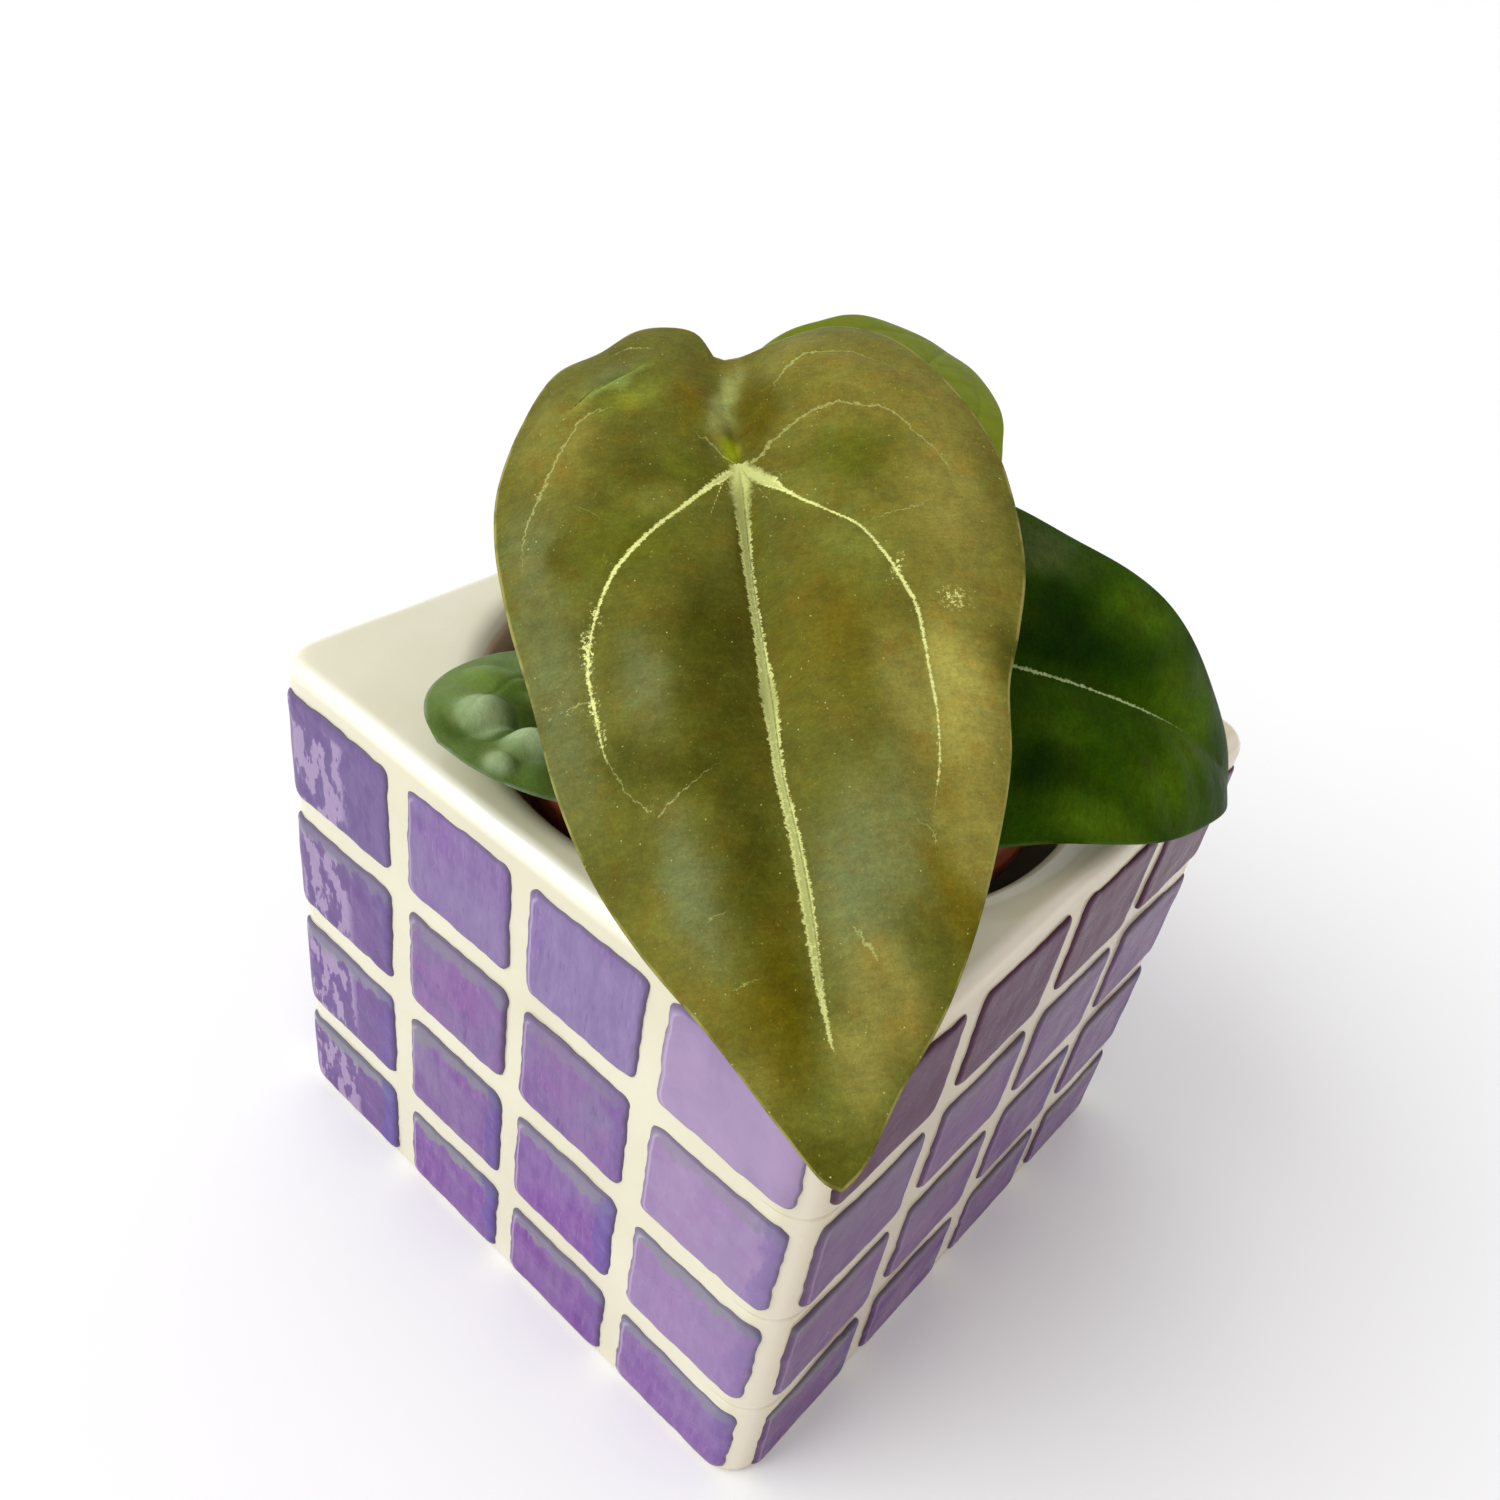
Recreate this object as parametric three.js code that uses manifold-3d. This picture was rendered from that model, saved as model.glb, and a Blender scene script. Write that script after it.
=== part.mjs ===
// A young anthurium forgetii in its nursery pot, standing in a square ceramic cachepot with tiles in relief.
// Millimetres, +Z up. The origin is the centre of the cachepot's flat base.
// The cachepot's left side in the usual view faces -Y, its right side faces +X.
import * as THREE from 'three';
import { mergeVertices } from 'three/addons/utils/BufferGeometryUtils.js';
import Module from 'manifold-3d';

const wasm = await Module();
wasm.setup();

// Cachepot
const POT_SIDE = 90;
const POT_HEIGHT = 76.7;
const POT_CORNER = 5.5;
const POT_EDGE = 2.2;
const POT_BASE_CUT = 1;
const POT_FLOOR = 6;
const MOUTH_RADIUS = 38.2;
const MOUTH_LIP = 3;
const WELL_BASE_RADIUS = 36.6;
const WELL_FILLET = 4;

// Tiles: half a face holds two columns, and the rows run from the base to the rim
const TILE_RELIEF = 0.5;
const TILE_CORNER = 2;
const TILE_BEVEL = 0.35;
const TILE_ROOT = 4;
const TILE_COLUMNS = [[-42.4, -23], [-19.4, -1.8], [1.8, 19.4], [23, 42.4]];
const TILE_ROWS = [[0.9, 14.6], [18.2, 34], [37.6, 53.3], [56.9, 73.6]];

// Nursery pot and what it holds
const GAP = 0.3;
const LINER_BASE_RADIUS = 25;
const LINER_TOP_RADIUS = 33;
const LINER_HEIGHT = 66.5;
const LINER_WALL = 1.2;
const LINER_RIM = 1.1;
const LINER_RIM_DEPTH = 4;
const DRAIN_RADIUS = 3;
const DRAIN_CIRCLE = 15;
const DRAIN_COUNT = 4;
const MIX_BELOW_RIM = 8;
const CHUNK_COUNT = 26;
const CHUNK_SIZE = [1.8, 3.4];

// Stem
const STEM_RADIUS = 4.6;
const STEM_DEPTH = 9;
const STEM_ABOVE_MIX = 5.5;
const SHEATH_ANGLES = [35, 133, 298];
const SHEATH_RADIUS = 2.4;
const SHEATH_HEIGHT = 10;
const SHEATH_LEAN = 14;

// Blades and petioles
const BLADE_THICKNESS = 0.8;
const MIDRIB_KEEL = 0.8;
const PETIOLE_BASE_RADIUS = 1.5;
const PETIOLE_RADIUS = 1.15;
const JOINT_RADIUS = 1.55;
const JOINT_SHARE = 0.14;
const REFERENCE_LENGTH = 78.5;

// Half outlines of a blade round its petiole at 0, 0: from the notch, round the lobe, to the tip at -Y.
const FRONT_LEFT = [
  [0.9, 16.8], [3.1, 21.9], [6.4, 23.1], [9.9, 22.6], [14.4, 19.1], [19.5, 16.4], [23.9, 9.1], [26.9, 0.3],
  [27.4, -7], [26.1, -18.4], [24, -28.8], [22, -39.6], [19.2, -48.3], [15.4, -55.8], [9.8, -64.3], [4.4, -73.2],
  [1.3, -77.8], [0, -78.5],
];
const FRONT_RIGHT = [
  [0.9, 16.8], [2.6, 17.4], [7.4, 19.9], [13.2, 21.3], [19.3, 18.5], [24.1, 11.7], [28.5, 0.4], [29.3, -7.2],
  [28.6, -17.1], [26, -25.7], [23.6, -32.1], [22, -40.3], [19.9, -46.8], [15.6, -56.9], [11.2, -64.6],
  [6.5, -70.5], [1.9, -77], [0, -78.5],
];
const COMMON_HALF = [
  [0, 16.8], [3, 20.5], [7, 22.3], [11, 22.2], [16, 19.2], [20.5, 16.4], [24.4, 9.1], [27.8, 0], [28.3, -7],
  [27.3, -18.5], [24.4, -30], [22, -40], [19.4, -48], [15.6, -56], [10.7, -64], [4.6, -73], [0, -78.5],
];
const YOUNG_HALF = [
  [0, 15], [8, 24], [20, 25], [32, 17], [39, 0], [39.5, -22], [34, -46], [23, -65], [11, -75.5], [0, -78.5],
];

// Each leaf: where its petiole meets the blade, the way its tip points, and how the blade is bent.
// side > 0 is the blade's half to the left of someone who looks back from its tip to its petiole.
const LEAVES = [
  {
    name: 'front', foot: [-2.7, 1.3], attach: [-7.3, -7.2, 106.7], azimuth: -38.5, elevation: -20, roll: -11.2,
    length: 78.5, width: 1, droop: 0.08, fold: 0, arch: 0, dome: 3.2, wave: 0.6, waves: 5,
    left: FRONT_LEFT, right: FRONT_RIGHT, sectors: 20, rings: 7, rise: 14, lean: 14, colour: 0x6b6a2c,
  },
  {
    name: 'right', foot: [2.8, -0.6], attach: [14.2, -4.2, 94.4], azimuth: 35.7, elevation: -2.5, roll: -29,
    length: 56.3, width: 0.795, droop: 1.4, fold: 0.045, arch: 0.004, dome: 0.8, wave: 0.4, waves: 6,
    left: COMMON_HALF, right: COMMON_HALF, sectors: 18, rings: 7, rise: 9, lean: 9, colour: 0x2f4d17,
  },
  {
    name: 'back', foot: [-0.4, 3], attach: [-11.5, 23.1, 101.5], azimuth: 107, elevation: 4, roll: -18,
    length: 47.3, width: 0.623, droop: 1.05, fold: 0.08, arch: 0.004, dome: 0.8, wave: 0.4, waves: 5,
    left: COMMON_HALF, right: COMMON_HALF, sectors: 18, rings: 6, rise: 14, lean: 12, colour: 0x5f8422,
  },
  {
    name: 'left', foot: [-0.4, -3], attach: [-7.3, -22.1, 78], azimuth: -98.8, elevation: 15.9, roll: 1.3,
    length: 25, width: 0.408, droop: 0.48, fold: 0.04, arch: 0.004, dome: 1.6, wave: 0.3, waves: 4,
    left: YOUNG_HALF, right: YOUNG_HALF, sectors: 16, rings: 6, rise: 3, lean: 4, colour: 0x4f7a4a,
  },
];

// Helpers for solids
function toSolid(geometry) {
  const bare = geometry.clone();
  bare.deleteAttribute('normal');
  bare.deleteAttribute('uv');
  const merged = mergeVertices(bare, 1e-4);
  return new wasm.Manifold(new wasm.Mesh({
    numProp: 3,
    vertProperties: Float32Array.from(merged.attributes.position.array),
    triVerts: Uint32Array.from(merged.index.array),
  }));
}

function toGeometry(solid) {
  const mesh = solid.getMesh();
  const geometry = new THREE.BufferGeometry();
  geometry.setAttribute('position', new THREE.BufferAttribute(mesh.vertProperties, 3));
  geometry.setIndex(new THREE.BufferAttribute(mesh.triVerts, 1));
  return geometry;
}

function seededRandom(seed) {
  let state = seed;
  return () => {
    state = (state * 1664525 + 1013904223) % 4294967296;
    return state / 4294967296;
  };
}

function smooth(low, high, value) {
  const t = Math.min(1, Math.max(0, (value - low) / (high - low)));
  return t * t * (3 - 2 * t);
}

// A quarter of a circle in a lathe profile, as points from one angle to the other
function arc(cx, cy, radius, from, to, steps) {
  const points = [];
  for (let i = 0; i <= steps; i++) {
    const angle = THREE.MathUtils.degToRad(from + (to - from) * i / steps);
    points.push(new THREE.Vector2(cx + radius * Math.cos(angle), cy + radius * Math.sin(angle)));
  }
  return points;
}

// A lathe turned about Z, from a profile of radius and height
function turned(profile, segments) {
  return new THREE.LatheGeometry(profile, segments).rotateX(Math.PI / 2);
}

function roundedRectangle(width, height, radius) {
  const w = width / 2;
  const h = height / 2;
  const shape = new THREE.Shape();
  shape.moveTo(-w + radius, -h);
  shape.lineTo(w - radius, -h);
  shape.absarc(w - radius, -h + radius, radius, -Math.PI / 2, 0);
  shape.lineTo(w, h - radius);
  shape.absarc(w - radius, h - radius, radius, 0, Math.PI / 2);
  shape.lineTo(-w + radius, h);
  shape.absarc(-w + radius, h - radius, radius, Math.PI / 2, Math.PI);
  shape.lineTo(-w, -h + radius);
  shape.absarc(-w + radius, -h + radius, radius, Math.PI, Math.PI * 1.5);
  return shape;
}

// Cachepot: the rounded edge round its base is cut off by the flat that it stands on
function potBody() {
  const side = POT_SIDE - 2 * TILE_RELIEF;
  const body = new THREE.ExtrudeGeometry(roundedRectangle(side, side, POT_CORNER - TILE_RELIEF), {
    depth: POT_HEIGHT + POT_BASE_CUT - 2 * POT_EDGE, bevelEnabled: true, bevelThickness: POT_EDGE, bevelSize: POT_EDGE,
    bevelOffset: -POT_EDGE, bevelSegments: 3, curveSegments: 3,
  });
  body.translate(0, 0, POT_EDGE - POT_BASE_CUT);
  const below = new THREE.BoxGeometry(2 * POT_SIDE, 2 * POT_SIDE, POT_SIDE).translate(0, 0, -POT_SIDE / 2);
  return toSolid(body).subtract(toSolid(below));
}

function tile([left, right], [low, high], quarterTurns) {
  const shape = roundedRectangle(right - left, high - low, TILE_CORNER);
  const pad = new THREE.ExtrudeGeometry(shape, {
    depth: TILE_ROOT, bevelEnabled: true, bevelThickness: TILE_BEVEL, bevelSize: TILE_BEVEL,
    bevelOffset: -TILE_BEVEL, bevelSegments: 1, curveSegments: 1,
  });
  pad.translate((left + right) / 2, (low + high) / 2, POT_SIDE / 2 - TILE_BEVEL - TILE_ROOT);
  pad.rotateX(Math.PI / 2);
  pad.rotateZ(quarterTurns * Math.PI / 2);
  return toSolid(pad);
}

function potWell() {
  const wallTop = POT_HEIGHT - MOUTH_LIP;
  const mouthEdge = MOUTH_RADIUS + MOUTH_LIP;
  const above = POT_HEIGHT + 5;
  const corner = WELL_BASE_RADIUS - WELL_FILLET;
  const profile = [
    new THREE.Vector2(0, POT_FLOOR),
    ...arc(corner, POT_FLOOR + WELL_FILLET, WELL_FILLET, -90, 0, 3),
    ...arc(mouthEdge, wallTop, MOUTH_LIP, 180, 90, 4),
    new THREE.Vector2(mouthEdge, above),
    new THREE.Vector2(0, above),
  ];
  return toSolid(turned(profile, 48));
}

function cachepot() {
  const outer = new THREE.ExtrudeGeometry(roundedRectangle(POT_SIDE, POT_SIDE, POT_CORNER), {
    depth: POT_HEIGHT, bevelEnabled: false, curveSegments: 3,
  });
  let tiles = null;
  for (let turn = 0; turn < 4; turn++) {
    for (const column of TILE_COLUMNS) {
      for (const row of TILE_ROWS) {
        const one = tile(column, row, turn);
        tiles = tiles ? tiles.add(one) : one;
      }
    }
  }
  return toGeometry(potBody().add(tiles.intersect(toSolid(outer))).subtract(potWell()));
}

// Nursery pot
const LINER_BASE = POT_FLOOR + GAP;
const LINER_TOP = LINER_BASE + LINER_HEIGHT;
const MIX_TOP = LINER_TOP - MIX_BELOW_RIM;

function linerRadius(z) {
  return LINER_BASE_RADIUS + (LINER_TOP_RADIUS - LINER_BASE_RADIUS) * (z - LINER_BASE) / LINER_HEIGHT;
}

function nurseryPot() {
  const rimLow = LINER_TOP - LINER_RIM_DEPTH;
  const floorTop = LINER_BASE + LINER_WALL * 1.2;
  const profile = [
    [0, LINER_BASE], [LINER_BASE_RADIUS - 1, LINER_BASE], [LINER_BASE_RADIUS, LINER_BASE + 1],
    [linerRadius(rimLow), rimLow], [linerRadius(rimLow) + LINER_RIM, rimLow + 0.4],
    [LINER_TOP_RADIUS + LINER_RIM, LINER_TOP - 0.6], [LINER_TOP_RADIUS + LINER_RIM / 2, LINER_TOP],
    [LINER_TOP_RADIUS - LINER_WALL + 0.3, LINER_TOP], [LINER_TOP_RADIUS - LINER_WALL, LINER_TOP - 0.4],
    [linerRadius(floorTop) - LINER_WALL, floorTop], [0, floorTop],
  ].map(([r, z]) => new THREE.Vector2(r, z));
  let liner = toSolid(turned(profile, 40));
  for (let i = 0; i < DRAIN_COUNT; i++) {
    const angle = (i + 0.5) * 2 * Math.PI / DRAIN_COUNT;
    const drill = new THREE.CylinderGeometry(DRAIN_RADIUS, DRAIN_RADIUS, 6, 12).rotateX(Math.PI / 2);
    drill.translate(DRAIN_CIRCLE * Math.cos(angle), DRAIN_CIRCLE * Math.sin(angle), LINER_BASE);
    liner = liner.subtract(toSolid(drill));
  }
  return toGeometry(liner);
}

// Potting mix: a plug with lumps of bark fused to its top, and a socket for the stem
function pottingMix() {
  const low = LINER_BASE + LINER_WALL * 1.2 + GAP;
  const clear = LINER_WALL + GAP;
  const profile = [
    [0, low], [linerRadius(low) - clear, low], [linerRadius(MIX_TOP) - clear, MIX_TOP - 0.6],
    [linerRadius(MIX_TOP) - clear - 2, MIX_TOP], [STEM_RADIUS + 5, MIX_TOP + 0.4], [0, MIX_TOP + 0.8],
  ].map(([r, z]) => new THREE.Vector2(r, z));
  let mix = toSolid(turned(profile, 32));
  const random = seededRandom(7);
  const spread = linerRadius(MIX_TOP) - clear - CHUNK_SIZE[1] - 1;
  const nearest = STEM_RADIUS + CHUNK_SIZE[1] + 2;
  for (let i = 0; i < CHUNK_COUNT; i++) {
    const angle = i * 2.39996 + random() * 0.5;
    const reach = nearest + (spread - nearest) * Math.sqrt((i + random()) / CHUNK_COUNT);
    const size = CHUNK_SIZE[0] + (CHUNK_SIZE[1] - CHUNK_SIZE[0]) * random();
    const chunk = new THREE.IcosahedronGeometry(size, 0).scale(1, 0.75, 0.55);
    chunk.rotateX(random() * 0.6).rotateZ(random() * Math.PI);
    chunk.translate(reach * Math.cos(angle), reach * Math.sin(angle), MIX_TOP + 0.3);
    mix = mix.add(toSolid(chunk));
  }
  const socketDepth = STEM_DEPTH + GAP;
  const socket = new THREE.CylinderGeometry(STEM_RADIUS + GAP, STEM_RADIUS + GAP, socketDepth + 8, 20);
  socket.rotateX(Math.PI / 2).translate(0, 0, MIX_TOP + 8 - (socketDepth + 8) / 2);
  return toGeometry(mix.subtract(toSolid(socket)));
}

// Stem: a short upright stem, with the pointed dry sheaths of earlier leaves round its top
const STEM_TOP = MIX_TOP + STEM_ABOVE_MIX;

function stem() {
  const low = MIX_TOP - STEM_DEPTH;
  const profile = [
    [0, low], [STEM_RADIUS * 0.6, low], [STEM_RADIUS, low + 3], [STEM_RADIUS, MIX_TOP - 0.5],
    [STEM_RADIUS * 0.9, MIX_TOP + 2], [STEM_RADIUS, STEM_TOP - 1.2], [STEM_RADIUS - 0.4, STEM_TOP], [0, STEM_TOP],
  ].map(([r, z]) => new THREE.Vector2(r, z));
  let body = toSolid(turned(profile, 16));
  for (const angle of SHEATH_ANGLES) {
    const sheath = new THREE.ConeGeometry(SHEATH_RADIUS, SHEATH_HEIGHT, 7).rotateX(Math.PI / 2).scale(1, 0.45, 1);
    sheath.rotateX(THREE.MathUtils.degToRad(SHEATH_LEAN));
    sheath.translate(0, -STEM_RADIUS - 0.3, MIX_TOP + 1.6 + SHEATH_HEIGHT / 2);
    sheath.rotateZ(THREE.MathUtils.degToRad(angle));
    body = body.add(toSolid(sheath));
  }
  return toGeometry(body);
}

// Blades
function leafAxes(leaf) {
  const azimuth = THREE.MathUtils.degToRad(leaf.azimuth);
  const elevation = THREE.MathUtils.degToRad(leaf.elevation);
  const roll = THREE.MathUtils.degToRad(leaf.roll);
  const along = new THREE.Vector3(
    Math.cos(azimuth) * Math.cos(elevation), Math.sin(azimuth) * Math.cos(elevation), Math.sin(elevation),
  );
  const level = new THREE.Vector3().crossVectors(along, new THREE.Vector3(0, 0, 1)).normalize();
  const across = level.applyAxisAngle(along, -roll);
  const normal = new THREE.Vector3().crossVectors(across, along);
  return { along, across, normal };
}

// The closed outline of a blade as [x, y] from the tip, round one side, past the notch, and back.
// x is positive on the left half.
function outlineOf(leaf) {
  const stretch = leaf.length / REFERENCE_LENGTH;
  const half = (points, sign) => {
    const curve = new THREE.CatmullRomCurve3(points.map(([x, y]) => new THREE.Vector3(x, y, 0)), false, 'centripetal');
    return curve.getSpacedPoints(leaf.sectors).map((p) => [sign * p.x * leaf.width, p.y * stretch]);
  };
  const left = half(leaf.left, 1).reverse();
  const right = half(leaf.right, -1);
  const notch = [(left[leaf.sectors][0] + right[0][0]) / 2, left[leaf.sectors][1]];
  return [...left.slice(0, -1), notch, ...right.slice(1, -1)];
}

// How far a point of the blade lies above the flat blade: share is 0 at the petiole and 1 at the margin
function bladeHeight(leaf, x, share, edgeX, turn) {
  const side = 1 - Math.exp(-Math.abs(edgeX) / (8 * leaf.width));
  const dome = 4 * leaf.dome * share * (1 - share) * side;
  const wave = leaf.wave * share ** 3 * Math.sin(2 * Math.PI * leaf.waves * turn + 1) * side;
  return leaf.fold * Math.abs(x) - leaf.arch * x * x + dome + wave;
}

// The blade bends down towards its tip: the angle grows with the square of the way from the petiole
function bladePoint(leaf, axes, x, y, height) {
  const way = -y;
  const steps = 12;
  let ahead = 0;
  let down = 0;
  let angle = 0;
  for (let i = 0; i < steps; i++) {
    const middle = way * (i + 0.5) / steps;
    angle = leaf.droop * (Math.max(0, middle) / 60) ** 2;
    ahead += Math.cos(angle) * way / steps;
    down += Math.sin(angle) * way / steps;
  }
  angle = leaf.droop * (Math.max(0, way) / 60) ** 2;
  const up = axes.normal.clone().multiplyScalar(Math.cos(angle)).addScaledVector(axes.along, Math.sin(angle));
  return new THREE.Vector3(...leaf.attach)
    .addScaledVector(axes.along, ahead)
    .addScaledVector(axes.normal, -down)
    .addScaledVector(axes.across, x)
    .addScaledVector(up, height);
}

function blade(leaf) {
  const axes = leafAxes(leaf);
  const outline = outlineOf(leaf);
  const count = outline.length;
  const positions = [];
  const add = (share, i, face) => {
    const [edgeX, edgeY] = outline[i];
    const x = edgeX * share;
    const y = edgeY * share;
    const midrib = Math.exp(-((x / 1.5) ** 2)) * smooth(-leaf.length, -leaf.length * 0.4, y) * smooth(12, 4, y);
    const under = BLADE_THICKNESS / 2 + MIDRIB_KEEL * midrib;
    const offset = face > 0 ? BLADE_THICKNESS / 2 : -under;
    const height = bladeHeight(leaf, x, share, edgeX, i / count) + offset;
    positions.push(...bladePoint(leaf, axes, x, y, height).toArray());
  };
  const triangles = [];
  const faceSize = 1 + leaf.rings * count;
  for (const face of [1, -1]) {
    add(0, 0, face);
    for (let ring = 1; ring <= leaf.rings; ring++) {
      for (let i = 0; i < count; i++) {
        add((ring / leaf.rings) ** 0.9, i, face);
      }
    }
    const start = face > 0 ? 0 : faceSize;
    const at = (ring, i) => start + 1 + (ring - 1) * count + (i % count);
    const push = (a, b, c) => triangles.push(...(face > 0 ? [a, c, b] : [a, b, c]));
    for (let i = 0; i < count; i++) {
      push(start, at(1, i), at(1, i + 1));
      for (let ring = 1; ring < leaf.rings; ring++) {
        push(at(ring, i), at(ring + 1, i), at(ring + 1, i + 1));
        push(at(ring, i), at(ring + 1, i + 1), at(ring, i + 1));
      }
    }
  }
  const rim = 1 + (leaf.rings - 1) * count;
  for (let i = 0; i < count; i++) {
    const next = (i + 1) % count;
    triangles.push(rim + i, faceSize + rim + next, faceSize + rim + i);
    triangles.push(rim + i, rim + next, faceSize + rim + next);
  }
  const geometry = new THREE.BufferGeometry();
  geometry.setAttribute('position', new THREE.Float32BufferAttribute(positions, 3));
  geometry.setIndex(triangles);
  return geometry;
}

// Petioles: a cylinder drawn along its curve, tapered, and thickened at the joint below the blade
function petioleCurve(leaf) {
  const { normal } = leafAxes(leaf);
  const attach = new THREE.Vector3(...leaf.attach);
  const foot = new THREE.Vector3(leaf.foot[0], leaf.foot[1], STEM_TOP + GAP);
  const end = attach.clone().addScaledVector(normal, -(BLADE_THICKNESS / 2 + MIDRIB_KEEL + GAP));
  const out = new THREE.Vector3(leaf.foot[0], leaf.foot[1], 0).normalize().multiplyScalar(leaf.rise * 0.25);
  const rise = foot.clone().add(new THREE.Vector3(out.x, out.y, leaf.rise));
  const lean = end.clone().addScaledVector(normal, -leaf.lean);
  return new THREE.CubicBezierCurve3(foot, rise, lean, end);
}

function petiole(leaf) {
  const stations = 14;
  const sides = 10;
  const curve = petioleCurve(leaf);
  const frames = curve.computeFrenetFrames(stations, false);
  const tube = new THREE.CylinderGeometry(1, 1, 1, sides, stations);
  const position = tube.attributes.position;
  for (let i = 0; i < position.count; i++) {
    const share = position.getY(i) + 0.5;
    const station = Math.round(share * stations);
    const joint = smooth(1 - JOINT_SHARE, 1 - JOINT_SHARE / 3, share);
    const plain = PETIOLE_BASE_RADIUS + (PETIOLE_RADIUS - PETIOLE_BASE_RADIUS) * share;
    const radius = plain + (JOINT_RADIUS - plain) * joint;
    const point = curve.getPointAt(station / stations)
      .addScaledVector(frames.normals[station], -position.getX(i) * radius)
      .addScaledVector(frames.binormals[station], position.getZ(i) * radius);
    position.setXYZ(i, point.x, point.y, point.z);
  }
  return tube;
}

// The assembly
function named(name, geometry, colour, roughness) {
  const material = new THREE.MeshStandardMaterial({ color: colour, roughness, metalness: 0 });
  const mesh = new THREE.Mesh(geometry, material);
  mesh.name = name;
  return mesh;
}

const plant = new THREE.Group();
plant.add(named('stem', stem(), 0x7d7442, 0.7));
for (const leaf of LEAVES) {
  plant.add(named(`petiole_${leaf.name}`, petiole(leaf), 0x6f7d36, 0.5));
  plant.add(named(`leaf_${leaf.name}`, blade(leaf), leaf.colour, 0.45));
}

const model = new THREE.Group();
model.add(named('pot', cachepot(), 0x8a72b4, 0.2));
model.add(named('nursery_pot', nurseryPot(), 0x7a3323, 0.6));
model.add(named('potting_mix', pottingMix(), 0x3a2a1e, 0.95));
model.add(plant);

export default model;
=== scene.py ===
import math

import bpy
import numpy as np
from mathutils import Matrix, Vector


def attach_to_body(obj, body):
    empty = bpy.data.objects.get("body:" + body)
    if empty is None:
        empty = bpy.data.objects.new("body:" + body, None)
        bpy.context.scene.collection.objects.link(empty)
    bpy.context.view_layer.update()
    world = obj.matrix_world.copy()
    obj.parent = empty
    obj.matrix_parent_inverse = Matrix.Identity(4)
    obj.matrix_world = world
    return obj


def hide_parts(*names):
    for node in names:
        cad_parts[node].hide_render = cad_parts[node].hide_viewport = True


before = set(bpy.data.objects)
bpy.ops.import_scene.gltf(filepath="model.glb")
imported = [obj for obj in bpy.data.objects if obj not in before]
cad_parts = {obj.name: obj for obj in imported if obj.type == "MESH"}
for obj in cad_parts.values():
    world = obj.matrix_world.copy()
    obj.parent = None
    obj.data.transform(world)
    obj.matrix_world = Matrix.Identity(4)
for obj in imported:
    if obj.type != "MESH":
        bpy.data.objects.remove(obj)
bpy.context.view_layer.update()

# Camera: a phone held above the pot's near corner, 37 degrees down and turned 8 degrees about its own axis.
# It stands where the photograph was taken from, and its lens takes in the same frame.
CAMERA_PLACE = (0.07798, -0.11593, 0.17317)
CAMERA_RIGHT = (0.7412, 0.6566, 0.1398)
CAMERA_UP = (-0.4888, 0.3852, 0.7827)
CAMERA_BACK = (0.4601, -0.6485, 0.6065)
CAMERA_LENS = 32.31

bpy.ops.object.camera_add(location=CAMERA_PLACE)
camera = bpy.context.object
camera.name = "camera"
camera.rotation_euler = Matrix((CAMERA_RIGHT, CAMERA_UP, CAMERA_BACK)).transposed().to_euler()
camera.data.lens = CAMERA_LENS
camera.data.clip_start = 0.01
bpy.context.scene.camera = camera

# Cachepot body: a square box of slip-cast earthenware with a round well, dipped in a cream glaze that softens
# its edges. The fine lines across its upright corners were left by the joints between rows of tiles.
MM = 0.001
BODY_HALF = 44.5
BODY_CORNER = 5.0
BODY_HEIGHT = 76.7
TOP_EDGE = 2.2
BASE_EDGE_START = 1.2
BASE_RECESS = 1.2
MOUTH_RADIUS = 38.0
MOUTH_LIP = 3.2
WELL_BASE_RADIUS = 36.5
WELL_FILLET = 4.0
WELL_FLOOR = 6.0
SEAM_LINES = (16.4, 35.8, 55.1)
SEAM_STEPS = (-0.5, -0.22, -0.1, 0, 0.1, 0.22, 0.5)
SIDE_STATIONS = 60
CORNER_STATIONS = 14
LEAST_CORNER = 0.5
SEAM_SIZE = 0.16
WALL_SWELL = 0.13
RIM_SWELL = 0.1
WELD = 0.000002


def deselect():
    bpy.ops.object.select_all(action="DESELECT")


def points_of(piece):
    flat = np.zeros(len(piece.data.vertices) * 3)
    piece.data.vertices.foreach_get("co", flat)
    return flat.reshape(-1, 3)


def move_points(piece, points):
    piece.data.vertices.foreach_set("co", np.asarray(points, float).ravel())
    piece.data.update()


def wrapped_grid(name, rows, columns, place):
    """A flat grid whose points are wrapped onto a shape: place takes row and column numbers, and gives mm."""
    deselect()
    bpy.ops.mesh.primitive_grid_add(x_subdivisions=rows - 1, y_subdivisions=columns - 1, size=1)
    piece = bpy.context.object
    piece.name = piece.data.name = name
    flat = points_of(piece) + 0.5
    row = np.rint(flat[:, 0] * (rows - 1)).astype(int)
    column = np.rint(flat[:, 1] * (columns - 1)).astype(int)
    move_points(piece, place(row, column) * MM)
    return piece


def face_outwards(weld=None):
    """Turns the faces of the piece in hand outwards; points that lie closer than weld are joined first."""
    bpy.ops.object.mode_set(mode="EDIT")
    bpy.ops.mesh.select_all(action="SELECT")
    if weld:
        bpy.ops.mesh.remove_doubles(threshold=weld)
    bpy.ops.mesh.normals_make_consistent(inside=False)
    bpy.ops.object.mode_set(mode="OBJECT")


def close_seams():
    """Joins the edges and poles of the wrapped grid in hand."""
    face_outwards(WELD)
    bpy.ops.object.shade_smooth()


def keep_values(piece, values):
    """Stores one number or three numbers per point under each name, for the piece's material to read."""
    for name, numbers in values.items():
        kind, field = ("FLOAT", "value") if numbers.ndim == 1 else ("FLOAT_VECTOR", "vector")
        kept = piece.data.attributes.new(name, kind, "POINT")
        kept.data.foreach_set(field, numbers.astype(np.float32).ravel())


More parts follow.
